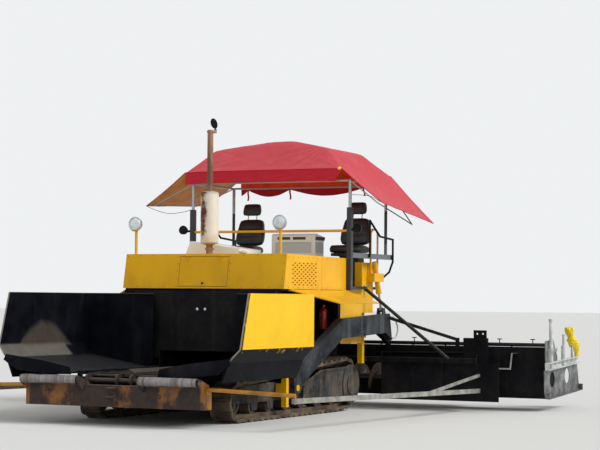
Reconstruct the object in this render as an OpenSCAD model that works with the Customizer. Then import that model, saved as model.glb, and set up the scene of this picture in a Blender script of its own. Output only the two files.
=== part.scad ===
// Tracked asphalt paver with hopper, conveyor, augers and a floating screed.
// Machine frame: X forwards, Y to the machine's left, Z up, ground at Z = 0,
// X = 0 halfway between the idler and the sprocket. The part's own origin is
// the middle of its footprint, so every module is drawn inside placed().

/* [Tracks] */
// Distance between the idler's axle and the sprocket's axle
axle_base = 3160; // [2900:10:3400]
// Distance between the middles of the two tracks
track_gauge = 1880; // [1840:10:1960]
// Width of a track shoe
shoe_w = 300; // [260:10:320]
// Height of a shoe with its pad
shoe_h = 48; // [40:1:60]
// Height of the chain that carries the shoes
chain_h = 46; // [38:1:55]
// Outer radius of the track round the idler
idler_r = 260; // [240:5:280]
// Outer radius of the track round the sprocket
sprocket_r = 355; // [330:5:370]
// Height of the sprocket's lowest shoe over the ground
sprocket_lift = 30; // [20:1:60]
// Shoes on one track
shoe_count = 50; // [44:2:54]

/* [Frame] */
// Width over the push beam, the transport width
transport_w = 2500; // [2450:10:2600]
// Front face of the push beam
beam_front = 2765; // [2740:5:2850]
// Bottom of the push beam
beam_z = 224; // [200:2:260]
// Height of the push beam
beam_h = 256; // [220:2:270]
// Depth of the push beam
beam_d = 178; // [150:2:200]
// Thickness of the frame's side plates
plate_t = 25; // [15:1:30]
// Rear end of the frame
frame_rear = -2120; // [-2140:5:-2080]
// Level of the conveyor floor
floor_z = 590; // [570:5:600]
// Level of the top of the conveyor tunnel
tunnel_z = 852; // [830:2:880]

/* [Hopper] */
// Distance between the two wing hinges
wing_hinge_w = 1200; // [1190:2:1210]
// Level of the wing hinges
wing_hinge_z = 622; // [615:1:630]
// Width over the hopper's side plates
hopper_w = 3410; // [3300:10:3500]
// Level of the top of the wings
wing_top = 1598; // [1500:2:1640]
// Rear face of a wing
wing_rear = 780; // [760:5:820]
// Thickness of the wings' plates
wing_t = 22; // [14:1:26]

/* [Body] */
// How far the hood and the platform stand out over the lower body
hood_over = 82; // [70:1:100]
// Bottom of the hood
hood_z = 1665; // [1650:5:1680]
// Top of the hood at its front edge
hood_top = 2120; // [2060:5:2200]
// Rear end of the hood
hood_rear = -1286; // [-1300:2:-1270]
// Thickness of the hood's sheet, flanges included
hood_t = 24; // [16:1:30]
// How far the lower body stands out past the tracks
body_over = 28; // [22:1:32]
// Level of the platform's floor
deck_z = 1720; // [1710:2:1740]
// Rear end of the platform
deck_rear = -2750; // [-2800:5:-2700]
// Angle of the opened side flap below level
flap_droop = 17; // [12:1:25]

/* [Canopy] */
// Level of the canopy's eaves
eave_z = 3340; // [3200:10:3400]
// Rise of the canopy's middle over its eaves
canopy_rise = 470; // [400:10:520]
// Middle of the canopy along the machine
canopy_mid = -2110; // [-2150:10:-2080]
// Half-length of the canopy at its eaves
canopy_hl = 840; // [800:10:880]
// How far the left eave lies inside the posts, the cloth being pulled to the right
canopy_in = 108; // [60:4:140]
// How far the right eave lies outside the posts
canopy_out = 92; // [60:4:140]
// Width of a canopy post
post_w = 66; // [50:2:80]

/* [Screed] */
// Paving width over the end gates' inner faces
paving_w = 7000; // [6800:50:7200]
// Front face of the screed
screed_front = -2950; // [-2990:5:-2940]
// Depth of the screed's box
screed_d = 560; // [500:10:640]
// Top of the screed's front plate, as the screed lies on the ground
screed_h = 720; // [700:5:740]
// Angle at which the screed hangs, lifted off the ground
lift_rest = 3; // [2.5:0.1:3.5]
// Tow point, ahead of the middle of the tracks
tow_x = 280; // [260:5:300]
// Level of the tow point
tow_z = 390; // [370:5:410]
// Gap between the lower body and a tow arm
arm_gap = 22; // [16:1:30]
// Thickness of a tow arm
arm_t = 100; // [80:2:100]
// Radius of the auger's flights
auger_r = 190; // [170:5:200]
// Pitch of the auger's flights
auger_pitch = 300; // [260:10:340]
// Auger axis, behind the middle of the tracks
auger_x = -2630; // [-2640:5:-2620]
// Level of the auger's axis
auger_z = 450; // [430:5:480]

/* [Hidden] */
$fn = 48;
// Running gap between a shaft or a pin and its hole
run_gap = 0.4;
// Gap between pieces that only seat on each other
seat_gap = 0.3;
// Gap between neighbours that move past each other
move_gap = 8;

// Top of the main frame, and the underside of the platform
frame_top = 930;
deck_low = deck_z - 39;

// Reach of the whole machine, which sets the part's origin
roller_r = 56;
roller_x = beam_front + 118;
roller_z = 545;
roller_ear = 16;
stub_r = 20;
// Distances of a push roller's two ears from the centre line
ROLLER_Y = [420, transport_w / 2 - roller_ear / 2];
// Tow hitch and the bolt holes in the beam's front face
hitch_x = beam_front + 60;
hitch_z = beam_z + 232;
hitch_r = 26;
hitch_h = 20;
bolt_y = 640;
bolt_z = beam_z + 144;
bolt_r = 17;
beam_top = beam_z + beam_h;
front_reach = roller_x + roller_r;
gate_x = [screed_front + 70, screed_front - 1470];
rear_reach = lift_point([gate_x[1], 0])[0];
x_mid = (front_reach + rear_reach) / 2;

// Tracks
idler_x = axle_base / 2;
sprocket_x = -axle_base / 2;
sprocket_z = sprocket_r + sprocket_lift;
band_h = shoe_h + chain_h;
chain_w = 140;
track_y = track_gauge / 2;
track_out = track_y + shoe_w / 2;
// Widths that follow from others: over the frame's side plates, half over the lower body and
// the hood, and a tow arm's inner face
frame_w = wing_hinge_w - 10;
body_hw = track_out + body_over;
hood_hw = body_hw + hood_over;
arm_y = body_hw + arm_gap;
// Middle and outer face of the canopy's posts
post_mid = hood_hw + post_w / 2;
post_out = hood_hw + post_w;
bottom_roller_r = 90;
bottom_roller_z = band_h + bottom_roller_r;
last_roller_x = sprocket_x + 340;
roller_pitch = 470;
carrier_r = 40;
CARRIER_X = [-420, 640];
// Wheels that guide a track's shoe plates, in order round the loop: x, z, radius
TRACK_WHEELS = [
    [idler_x, idler_r, idler_r - shoe_h],
    [sprocket_x, sprocket_z, sprocket_r - shoe_h],
    [last_roller_x, bottom_roller_z, bottom_roller_z - shoe_h]
];

// Wings, as y and z of their inner faces from the hinge outwards
wing_y = hopper_w / 2;
hinge_y = wing_hinge_w / 2;
hinge_r = 30;
hinge_pin_r = 18;
// Places of the frame's hinge lugs along the machine
WING_LUGS = [wing_rear + 20, 1640, beam_front - beam_d - 40];
side_low_z = 940;
// The wings' front edge: its upper end and how far it leans, in degrees
wing_lean_x = beam_front - 250;
wing_lean = 17;
floor_out = [wing_y - 160, 790];
skirt_foot = [wing_y - 232, 548];

// Tow arms and their tow pins
tow_pin_r = 40;
lug_work = [-2560, 1252];
lug_pin_r = 16;
eye_bore_r = 23;
arm_mid = arm_y + arm_t / 2;
// Lift cylinder: its axis follows the lug's path at rest
lug_rest = lift_point(lug_work);
lug_arm = [lug_rest[0] - tow_x, lug_rest[1] - tow_z];
cyl_tilt = atan2(lug_arm[1], -lug_arm[0]);
rod_r = 17;
barrel_r = 38;
gland_up = 240;
barrel_l = 470;
rod_l = gland_up + 235;

// Rear towers, as their ends along and across the machine
tower_x = [-2380, -2000];
tower_y = [body_hw - 110, body_hw];

// Hood's front face, its lower and upper corner, and the hatch in it
HOOD_FACE = [[611, hood_z], [526, hood_top]];
hatch_hw = 360;
hatch_low = 1696;
hatch_top = 2080;
hatch_pin = [HOOD_FACE[1][0] + 22, hatch_top + 10];
hatch_pin_r = 6;
// Fall of the hood's roof towards the rear
roof_fall = 20;

// Side flap, hinged under the hood's edge
flap_hinge = [hood_hw + 22, hood_z - 14];
flap_pin_r = 8;
flap_l = 560;
flap_t = 14;
flap_x = [480, -1250];
FLAP_KNUCKLES = [flap_x[0] - 60, (flap_x[0] + flap_x[1]) / 2, flap_x[1] + 60];

// Cross tube and the pins at its ends, which hold the tie bars
tube_r = 24;
tube_x = beam_front - beam_d / 2;
TUBE_END = [tube_x, 2390, 425];
tie_pin_r = 14;

// Auger tunnel
tunnel_x = auger_x + auger_r + 55;
tunnel_y = [1262, 2700];
beam_low = 660;
end_t = 16;
auger_in = 110;
auger_out = 2660;
shaft_r = 38;
shaft_start = 10;
shaft_end = auger_out + end_t;

// Ribs of the screed, and the ends of its basic part
SCREED_RIBS = [for (i = [-6 : 6]) i * paving_w / 14];
MAIN_END = [2305, 2665];
tab_hole_r = 14;
// Half-width over the cranks of the end gates
gear_reach = paving_w / 2 + 160;

// Canopy: shoulder and crest of its roof, and the bows that touch the cloth from below
cover_t = 12;
CANOPY_Y = [-post_mid - canopy_out, post_mid - canopy_in];
shoulder_rise = 350;
rear_rise = 280;
// Ends across the machine of the roof's front and rear top edges and of its crest
FRONT_TOP = [CANOPY_Y[0] + 175, CANOPY_Y[1] - 505];
REAR_TOP = [CANOPY_Y[0] + 325, CANOPY_Y[1] - 225];
CREST_Y = [-260, 60];
CREST_X = [canopy_mid - 280, canopy_mid + 160];
TOP_X = [canopy_mid - 360, canopy_mid + 280];
bow_r = 12;
bow_drop = cover_t + bow_r + 7;
BOW_X = [TOP_X[0] + 20, TOP_X[1] - 20];
// Level and radius of the bars round the roof, and radius of the posts' tubes
roof_bar_z = eave_z - 170;
roof_bar_r = 14;
post_r = 22;
// Outer edges of the awnings: y and z at the front, then at the rear
AWNING_LEFT = [[CANOPY_Y[1] + 625, eave_z - 490], [CANOPY_Y[1] + 645, eave_z - 700]];
AWNING_RIGHT = [[CANOPY_Y[0] - 655, eave_z - 480], [CANOPY_Y[0] - 655, eave_z - 390]];
// Canopy posts
x_front = hood_rear - 44;
x_rear = deck_rear + 190;

// Places of the two seats
SEAT_Y = [body_hw - 268, 268 - body_hw];
seat_x = -2300;

// Exhaust
pipe_x = -200;
pipe_y = -340;
pipe_top = 3820;
pipe_r = 40;
// Rain cap: its radius, its pin, how far it stands open and which way its hinge points
cap_r = 72;
cap_pin_r = 3;
cap_pin_up = 12;
cap_open = 72;
cap_turn = -25;
cap_arm = cap_r + 12;

// Point in the X-Z plane of the working screed, carried to its lifted rest
function lift_point(p) = [
    tow_x + (p[0] - tow_x) * cos(lift_rest) + (p[1] - tow_z) * sin(lift_rest),
    tow_z - (p[0] - tow_x) * sin(lift_rest) + (p[1] - tow_z) * cos(lift_rest)
];

// Puts the machine frame over the part's origin
module placed() {
    translate([-x_mid, 0, 0]) children();
}

// Both sides of the machine, from the left one
module both_sides() {
    children();
    mirror([0, 1, 0]) children();
}

// Hangs what is drawn in the working position at its lifted rest
module lifted() {
    translate([tow_x, 0, tow_z]) rotate([0, lift_rest, 0]) translate([-tow_x, 0, -tow_z]) children();
}

// Plate in an X-Z plane from an outline, from y outwards by t
module side_plate(outline, y, t) {
    translate([0, y + t, 0]) rotate([90, 0, 0]) linear_extrude(t) polygon(outline);
}

// Plate in a Y-Z plane from an outline, from x forwards by t
module cross_plate(outline, x, t) {
    translate([x, 0, 0]) rotate([90, 0, 90]) linear_extrude(t) polygon(outline);
}

// Box from its lowest to its highest corner
module block(low, high) {
    translate(low) cube(high - low);
}

// Straight round bar between two points
module bar(a, b, r) {
    d = b - a;
    translate(a) rotate([0, acos(d[2] / norm(d)), atan2(d[1], d[0])]) cylinder(r = r, h = norm(d));
}

// Straight bar of rectangular section between two points, its width level
module flat_bar(a, b, h, w) {
    d = b - a;
    translate(a) rotate([0, 0, atan2(d[1], d[0])]) rotate([0, -asin(d[2] / norm(d)), 0])
        translate([0, -w / 2, -h / 2]) cube([norm(d), w, h]);
}

// Round bar through a list of points, with ball corners a little thicker than the bar
module bent_bar(points, r) {
    for (i = [0 : len(points) - 2]) bar(points[i], points[i + 1], r);
    for (i = [1 : len(points) - 2]) translate(points[i]) sphere(r = r + 1);
}

// Angle of the outward normal of the straight run from wheel a to wheel b
function run_angle(a, b) =
    atan2(b[1] - a[1], b[0] - a[0]) - acos((a[2] - b[2]) / norm([b[0] - a[0], b[1] - a[1]]));
function wheel(i) = TRACK_WHEELS[i % len(TRACK_WHEELS)];
function before(i) = wheel(i + len(TRACK_WHEELS) - 1);
function turn_from(i) = run_angle(before(i), wheel(i));
function turn_by(i) = (run_angle(wheel(i), wheel(i + 1)) - turn_from(i) + 720) % 360;
function arc_l(i) = wheel(i)[2] * turn_by(i) * PI / 180;
function run_l(i) =
    sqrt(pow(norm([wheel(i + 1)[0] - wheel(i)[0], wheel(i + 1)[1] - wheel(i)[1]]), 2)
        - pow(wheel(i)[2] - wheel(i + 1)[2], 2));
track_l = arc_l(0) + run_l(0) + arc_l(1) + run_l(1) + arc_l(2) + run_l(2);
// Place along the loop at distance s, as x, z and the angle of the outward normal
function track_at(s, i = 0) =
    s <= arc_l(i)
        ? let (a = turn_from(i) + s / wheel(i)[2] * 180 / PI)
            [wheel(i)[0] + wheel(i)[2] * cos(a), wheel(i)[1] + wheel(i)[2] * sin(a), a]
        : s - arc_l(i) <= run_l(i)
            ? let (a = turn_from(i) + turn_by(i), d = s - arc_l(i))
                [wheel(i)[0] + wheel(i)[2] * cos(a) - d * sin(a),
                 wheel(i)[1] + wheel(i)[2] * sin(a) + d * cos(a), a]
            : track_at(s - arc_l(i) - run_l(i), i + 1);
// Point u along and v outwards from a place on the loop
function off_track(p, u, v) =
    [p[0] - u * sin(p[2]) + v * cos(p[2]), p[1] + u * cos(p[2]) + v * sin(p[2])];

// One track: a closed chain with its shoes in its outline
module track(side) {
    side_y = side * track_y;
    pitch = track_l / shoe_count;
    // Profile of a shoe: share of the pitch along it, share of its height outwards
    PAD = [[-0.46, 0.25], [-0.40, 0.65], [-0.24, 0.70], [-0.20, 1], [0.20, 1], [0.24, 0.70],
        [0.40, 0.65], [0.46, 0.25]];
    places = [for (k = [0 : shoe_count - 1]) track_at(k * pitch)];
    placed() color("dimgray") translate([0, side_y, 0]) rotate([90, 0, 0]) {
        linear_extrude(shoe_w, center = true) difference() {
            polygon([for (p = places, q = PAD) off_track(p, q[0] * pitch, q[1] * shoe_h)]);
            polygon([for (p = places) off_track(p, 0, 0)]);
        }
        difference() {
            linear_extrude(chain_w, center = true) difference() {
                polygon([for (p = places) off_track(p, 0, 0)]);
                polygon([for (p = places) off_track(p, 0, -chain_h)]);
            }
            for (w = TRACK_WHEELS) translate([w[0], w[1], 0])
                cylinder(r = w[2] - chain_h + seat_gap, h = chain_w + 2, center = true);
        }
    }
}

module track_left() { track(1); }
module track_right() { track(-1); }

// Level of the inner face of a track's upper run at x
function upper_run(x) =
    let (a = [idler_x, idler_r * 2], b = [sprocket_x, sprocket_z + sprocket_r])
    a[1] + (b[1] - a[1]) * (a[0] - x) / (a[0] - b[0]) - band_h;

// Track frames: a beam with an outer guard plate, and the arms that join the main frame
module track_frames() {
    beam_low = bottom_roller_z + bottom_roller_r + 8;
    plate_y = chain_w / 2 + 6;
    plate_t = 14;
    placed() color("dimgray") both_sides() {
        block([last_roller_x - 40, track_y - plate_y, beam_low],
            [idler_x - 270, track_y + plate_y, beam_low + 110]);
        for (s = [-1, 1]) side_plate(
            [[idler_x + 90, 235], [idler_x + 90, 330], [idler_x - 120, 440], [CARRIER_X[1] + 70, 470],
             [CARRIER_X[1] - 70, 470], [CARRIER_X[0] + 120, 450],
             [CARRIER_X[0] + 50, carrier_z(CARRIER_X[0]) + 36],
             [CARRIER_X[0] - 50, carrier_z(CARRIER_X[0]) + 36], [CARRIER_X[0] - 120, 450],
             [last_roller_x - 60, 430], [last_roller_x - 60, 235], [last_roller_x - 30, 140],
             [last_roller_x + 60, 140], [last_roller_x + 90, 235], [540, 235], [570, 135], [700, 135],
             [730, 235], [980, 235], [1010, 135], [1140, 135], [1170, 235]],
            track_y + (s > 0 ? plate_y : -plate_y - plate_t), plate_t);
        for (x = [-900, 620])
            block([x, frame_w / 2, 300], [x + 160, track_y - plate_y - plate_t, 400]);
        translate([sprocket_x, frame_w / 2, sprocket_z]) rotate([-90, 0, 0])
            cylinder(r = 140, h = track_y - 105 - frame_w / 2);
    }
}

// Level of a carrier roller's axle, under the upper run at x
function carrier_z(x) = upper_run(x) - carrier_r - seat_gap;

// Idlers, sprockets and rollers, each between the plates of its frame
module track_wheels() {
    wheel_w = 110;
    hub_w = chain_w + 12 - 2 * seat_gap;
    placed() color("gray") both_sides() translate([0, track_y, 0]) rotate([90, 0, 0]) {
        translate([idler_x, idler_r, 0]) difference() {
            union() {
                cylinder(r = idler_r - band_h, h = wheel_w, center = true);
                cylinder(r = 60, h = hub_w, center = true);
            }
            for (s = [-1, 1]) translate([0, 0, s * (wheel_w / 2 + 1)]) difference() {
                cylinder(r = idler_r - band_h - 26, h = 44, center = true);
                cylinder(r = 62, h = 46, center = true);
            }
        }
        translate([sprocket_x, sprocket_z, 0]) {
            difference() {
                cylinder(r = sprocket_r - band_h, h = 60, center = true);
                for (k = [0 : 7]) rotate([0, 0, k * 45]) translate([200, 0, 0])
                    cylinder(r = 30, h = 62, center = true);
            }
            cylinder(r = 150, h = 210, center = true);
        }
        for (i = [0 : 5]) translate([last_roller_x + i * roller_pitch, bottom_roller_z, 0]) {
            cylinder(r = bottom_roller_r - seat_gap, h = chain_w, center = true);
            cylinder(r = 38, h = hub_w, center = true);
        }
        for (x = CARRIER_X) translate([x, carrier_z(x), 0]) {
            cylinder(r = carrier_r, h = chain_w - 20, center = true);
            cylinder(r = 22, h = hub_w, center = true);
        }
    }
}

// Grey guards outside the tracks' rear ends, with a round cover over the final drive
module track_guards() {
    guard_y = track_out + 6;
    t = 14;
    cover_y = guard_y + 34;
    placed() color("slategray") both_sides() {
        side_plate([[-170, 255], [-170, 400], [-240, 440], [-700, 590], [-1560, 612], [-1640, 590],
            [-1640, 255], [-1500, 215], [-330, 215]], guard_y, t);
        side_plate([[-170, 370], [-170, 400], [-240, 440], [-700, 590], [-1560, 612], [-1560, 582],
            [-710, 560], [-260, 412]], guard_y + t, 12);
        translate([sprocket_x - 60, cover_y, sprocket_z - 15]) rotate([90, 0, 0]) cylinder(r = 265, h = 34);
        translate([sprocket_x - 60, cover_y + 16, sprocket_z - 15]) rotate([90, 0, 0])
            cylinder(r = 150, h = 20);
        for (x = [-1180, -400])
            block([x, track_y + chain_w / 2 + 20, 330], [x + 60, guard_y, 370]);
    }
}

// Main frame: side plates, belly, cross members and wing hinge pins
module main_frame() {
    hw = frame_w / 2;
    placed() color("dimgray") {
        both_sides() {
            side_plate([[beam_front - beam_d, 250], [beam_front - beam_d, floor_z - 20],
                [680, floor_z - 20], [680, 930], [frame_rear, 930], [frame_rear, 420], [-1700, 250]],
                hw - plate_t, plate_t);
            bar([wing_rear + 20, hinge_y, wing_hinge_z], [beam_front - beam_d, hinge_y, wing_hinge_z],
                hinge_pin_r);
            for (x = WING_LUGS) {
                block([x, hw - plate_t, floor_z - 20], [x + 40, hinge_y + 24, wing_hinge_z]);
                translate([x, hinge_y, wing_hinge_z]) rotate([0, 90, 0]) cylinder(r = 24, h = 40);
            }
        }
        block([-1700, -hw + plate_t, 250], [beam_front - beam_d, hw - plate_t, 265]);
        for (x = [-1500, 0, 1500])
            block([x, -hw + plate_t, 265], [x + 60, hw - plate_t, 360]);
        block([frame_rear, -hw + plate_t, 915], [680, hw - plate_t, 930]);
    }
}

// Push beam with roller brackets and the tow hitch in its middle
module push_beam() {
    hw = transport_w / 2;
    x0 = beam_front - beam_d;
    wall = 16;
    rib_y = frame_w / 2 - plate_t;
    placed() color("saddlebrown") {
        difference() {
            union() {
                block([x0, -hw, beam_z], [beam_front, hw, beam_top]);
                block([beam_front, -115, hitch_z - 126], [beam_front + 14, 115, hitch_z + 12]);
                for (z = [hitch_z, hitch_z - 104]) {
                    block([beam_front, -60, z - hitch_h / 2], [hitch_x, 60, z + hitch_h / 2]);
                    translate([hitch_x, 0, z]) cylinder(r = 60, h = hitch_h, center = true);
                }
            }
            block([x0 - 1, -hw + wall, beam_z + wall], [beam_front - wall, hw - wall, beam_top - wall]);
            translate([hitch_x, 0, beam_z]) cylinder(r = hitch_r, h = beam_h);
            for (y = [-bolt_y, bolt_y]) translate([beam_front - wall - 1, y, bolt_z]) rotate([0, 90, 0])
                cylinder(r = bolt_r, h = wall + 2);
        }
        for (y = [-rib_y - plate_t, rib_y, -60, 40])
            block([x0, y, beam_z + wall], [beam_front - wall, y + (abs(y) > 100 ? plate_t : 20),
                beam_top - wall]);
        for (s = [-1, 1], y = ROLLER_Y) difference() {
            side_plate([[x0 + 60, beam_top], [x0 + 60, beam_top + 30], [roller_x - 30, roller_z + 40],
                [roller_x + 30, roller_z + 40], [roller_x + 30, roller_z - 30], [beam_front, beam_top - 70],
                [beam_front, beam_top]], s * y - roller_ear / 2, roller_ear);
            translate([roller_x, s * y, roller_z]) rotate([90, 0, 0])
                cylinder(r = stub_r + run_gap, h = 60, center = true);
        }
    }
}

// Push roller with the stub shafts that turn in its two ears
module push_roller(side) {
    y = side * (ROLLER_Y[0] + ROLLER_Y[1]) / 2;
    span = ROLLER_Y[1] - ROLLER_Y[0];
    placed() color("silver") translate([roller_x, y, roller_z]) rotate([90, 0, 0]) {
        cylinder(r = roller_r, h = span - roller_ear - 2 * move_gap, center = true);
        cylinder(r = stub_r, h = span + roller_ear, center = true);
    }
}

module push_roller_left() { push_roller(1); }
module push_roller_right() { push_roller(-1); }

// Slat conveyor: its floor, slats, shafts and middle cover
module conveyor() {
    hw = frame_w / 2 - plate_t;
    CHAIN_Y = [100, hw - 40];
    guard_hw = 70;
    shaft_z = floor_z - 66;
    SHAFT_X = [frame_rear + 90, beam_front - beam_d - 110];
    placed() color("dimgray") {
        block([SHAFT_X[0] + 80, -hw, floor_z - 16], [SHAFT_X[1] - 80, hw, floor_z]);
        for (s = [-1, 1]) {
            for (x = [SHAFT_X[0] + 20 : 300 : SHAFT_X[1] - 40])
                block([x, s > 0 ? guard_hw : 4 - hw, floor_z],
                    [x + 36, s > 0 ? hw - 4 : -guard_hw, floor_z + 28]);
            for (y = CHAIN_Y)
                block([SHAFT_X[0], s * y - 14, floor_z], [SHAFT_X[1], s * y + 14, floor_z + 20]);
        }
        for (x = SHAFT_X) translate([x, 0, shaft_z]) rotate([90, 0, 0]) {
            cylinder(r = 34, h = 2 * hw, center = true);
            for (s = [-1, 1], y = CHAIN_Y) translate([0, 0, s * y]) cylinder(r = 80, h = 26, center = true);
        }
        cross_plate([[-guard_hw, floor_z], [-guard_hw, floor_z + 36], [0, floor_z + 80],
            [guard_hw, floor_z + 36],
            [guard_hw, floor_z]], SHAFT_X[0] + 80, SHAFT_X[1] - SHAFT_X[0] - 160);
    }
}

// Lower body: back wall of the hopper, engine bay walls and floor
module body_frame() {
    hw = body_hw;
    placed() color([0.12, 0.12, 0.13]) {
        difference() {
            cross_plate([[-hw, 760], [-hw, hood_z - 24], [hw, hood_z - 24], [hw, 760]], 680, 20);
            block([670, -frame_w / 2 + plate_t, 700], [710, frame_w / 2 - plate_t, tunnel_z]);
        }
        block([hood_rear, -hw, 930], [680, hw, 950]);
        block([hood_rear, -hw, 950], [hood_rear + 20, hw, hood_z - 24]);
        both_sides() {
            block([600, hw - 60, 950], [680, hw, hood_z - 24]);
            block([hood_rear + 20, hw - 60, 950], [hood_rear + 80, hw, hood_z - 24]);
            block([hood_rear, hw - 60, hood_z - 24], [611 - hood_t - 6, hood_hw - hood_t, hood_z]);
            block([hood_rear + 40, hood_hw - hood_t - 50, hood_z],
                [611 - hood_t - 60, hood_hw - hood_t, hood_z + 20]);
        }
    }
}

// Engine, one plain block at its real size and place
module engine_block() {
    placed() color("gray") block([-1000, -360, 950], [220, 360, 1900]);
}

// Fire extinguisher on the engine bay's rear wall
module extinguisher() {
    foot = [hood_rear + 20 + 64, 900, 1130];
    placed() color("red") translate(foot) {
        rotate_extrude() polygon([[0, 0], [52, 0], [56, 8], [56, 240], [44, 272], [18, 288], [18, 306],
            [26, 308], [26, 330], [0, 334]]);
        block([-64, -20, 90], [-50, 20, 120]);
    }
}

// Hood: sloped front with the hatch opening, sides with an air grille, roof
module hood_shell() {
    placed() color("goldenrod") difference() {
        hood_form();
        side_plate([[hood_rear + hood_t, hood_z - 1], [hood_rear + hood_t, hood_top - roof_fall - hood_t],
            [HOOD_FACE[1][0] - hood_t, hood_top - hood_t], [HOOD_FACE[0][0] - hood_t, hood_z - 1]],
            -hood_hw + hood_t, 2 * (hood_hw - hood_t));
        block([400, -hatch_hw - 6, hatch_low - 6], [700, hatch_hw + 6, hatch_top + 6]);
        grille_slots();
        for (s = [-1, 1]) block([-512, s * hood_hw - 3, hood_z - 1], [-506, s * hood_hw + 3, hood_top]);
    }
    placed() color("goldenrod") {
        both_sides() for (x = FLAP_KNUCKLES) difference() {
            block([x - 20, hood_hw - hood_t, flap_hinge[1] - 14], [x + 20, flap_hinge[0] + 14, hood_z]);
            translate([x - 21, flap_hinge[0], flap_hinge[1]]) rotate([0, 90, 0])
                cylinder(r = flap_pin_r + run_gap, h = 42);
        }
        for (s = [-1, 1], d = [-28, 12]) difference() {
            block([hatch_pin[0] - 40, s * 240 + d, hatch_top + 4],
                [hatch_pin[0] + 10, s * 240 + d + 16, hatch_pin[1] + 12]);
            translate([hatch_pin[0], s * 240 + d - 1, hatch_pin[1]]) rotate([-90, 0, 0])
                cylinder(r = hatch_pin_r + run_gap, h = 18);
        }
    }
}

// Air grille: staggered rows of pointed slots through both of the hood's sides
module grille_slots() {
    SLOT = [[-28, 0], [-19, 9], [19, 9], [28, 0], [19, -9], [-19, -9]];
    rows = 11;
    columns = 6;
    pitch = [123, 28];
    translate([0, hood_hw + 1, 0]) rotate([90, 0, 0]) linear_extrude(2 * hood_hw + 2)
        for (r = [0 : rows - 1], c = [0 : columns - 1])
            translate([-330 + c * pitch[0] + (r % 2) * pitch[0] / 2, 1722 + r * pitch[1]]) polygon(SLOT);
}

// Outline of the hood, closed: its front face leans back
module hood_form() {
    side_plate([[hood_rear, hood_z], [hood_rear, hood_top - roof_fall], HOOD_FACE[1], HOOD_FACE[0]],
        -hood_hw, 2 * hood_hw);
}

// White intake box on the hood's roof, its lid falling to the left
module roof_box() {
    placed() color("white") difference() {
        cross_plate([[-910, hood_top - 60], [-910, hood_top], [-830, 2325], [-60, 2215],
            [-60, hood_top - 60]],
            -1180, 640);
        hood_form();
    }
}

// Filler with its mushroom cap on the hood's roof
module filler_cap() {
    placed() color("wheat") difference() {
        translate([-200, 176, hood_top - 40]) rotate_extrude()
            polygon([[0, 0], [34, 0], [34, 62], [58, 66], [62, 76], [50, 92], [0, 104]]);
        hood_form();
    }
}

// Hatch in the middle of the hood's front
module hood_hatch() {
    placed() color("goldenrod") {
        intersection() {
            difference() {
                hood_form();
                translate([-14, 0, 0]) hood_form();
            }
            block([400, -hatch_hw, hatch_low], [700, hatch_hw, hatch_top]);
        }
        for (s = [-1, 1]) {
            block([hatch_pin[0] - 20, s * 240 - 10, hatch_pin[1] - 66],
                [hatch_pin[0] + 6, s * 240 + 10, hatch_pin[1] - 4]);
            translate([hatch_pin[0], s * 240 - 28, hatch_pin[1]]) rotate([-90, 0, 0])
                cylinder(r = hatch_pin_r, h = 56);
            translate([hatch_pin[0], s * 240 - 10, hatch_pin[1]]) rotate([-90, 0, 0])
                cylinder(r = 10, h = 20);
        }
    }
}

// Rear body with the tanks, between the tow arms
module rear_body() {
    t = 12;
    placed() color("gold") difference() {
        block([tower_x[1], -body_hw, 930], [hood_rear, body_hw, deck_low]);
        block([tower_x[1] + t, -body_hw + t, 929], [hood_rear - t, body_hw - t, deck_low - t]);
    }
}

// Platform floor
module platform() {
    placed() color("dimgray") {
        block([tower_x[1], -hood_hw, deck_low], [hood_rear, hood_hw, deck_z]);
        block([deck_rear, -tower_y[0], deck_low], [tower_x[1], tower_y[0], deck_z]);
    }
}

// Control console
module console() {
    face = hood_rear - 164;
    Y = [-30, 650];
    placed() color("gainsboro") difference() {
        side_plate([[face, deck_z], [face, deck_z + 705], [face - 30, deck_z + 732],
            [face - 330, deck_z + 680], [face - 270, deck_z + 610], [face - 270, deck_z]],
            Y[0], Y[1] - Y[0]);
        for (y = [Y[0] + 90, Y[0] + 330]) block([face - 12, y, deck_z + 646],
            [face + 1, y + 200, deck_z + 684]);
        block([face - 12, Y[0] + 60, deck_z + 460], [face + 1, Y[1] - 60, deck_z + 610]);
        block([face - 300, Y[0] + 40, deck_z - 1], [face - 40, Y[1] - 40, deck_z + 570]);
    }
}

// Seat with its cushion, back and head rest
module seat(y) {
    placed() color([0.1, 0.1, 0.11]) translate([seat_x, y, deck_z]) {
        side_plate([[-100, 471], [-110, 540], [-60, 580], [290, 600], [370, 570], [390, 510],
            [360, 471]], -250, 500);
        side_plate([[-100, 570], [-180, 940], [-170, 995], [-110, 1005], [-70, 970], [20, 610],
            [-10, 570]], -235, 470);
        side_plate([[-150, 1040], [-185, 1180], [-165, 1220], [-115, 1220], [-85, 1180], [-75, 1060],
            [-95, 1035]], -150, 300);
        for (d = [-70, 70]) bar([-130, d, 980], [-145, d, 1070], 8);
    }
}

// Pedestals and pans under the two seats
module seat_bases() {
    placed() color([0.2, 0.2, 0.2]) for (y = SEAT_Y) translate([seat_x, y, deck_z]) {
        side_plate([[-60, 0], [-20, 430], [160, 430], [230, 0]], -150, 300);
        block([-90, -200, 430], [340, 200, 471 - seat_gap]);
    }
}

module seat_left() { seat(SEAT_Y[0]); }
module seat_right() { seat(SEAT_Y[1]); }

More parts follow.
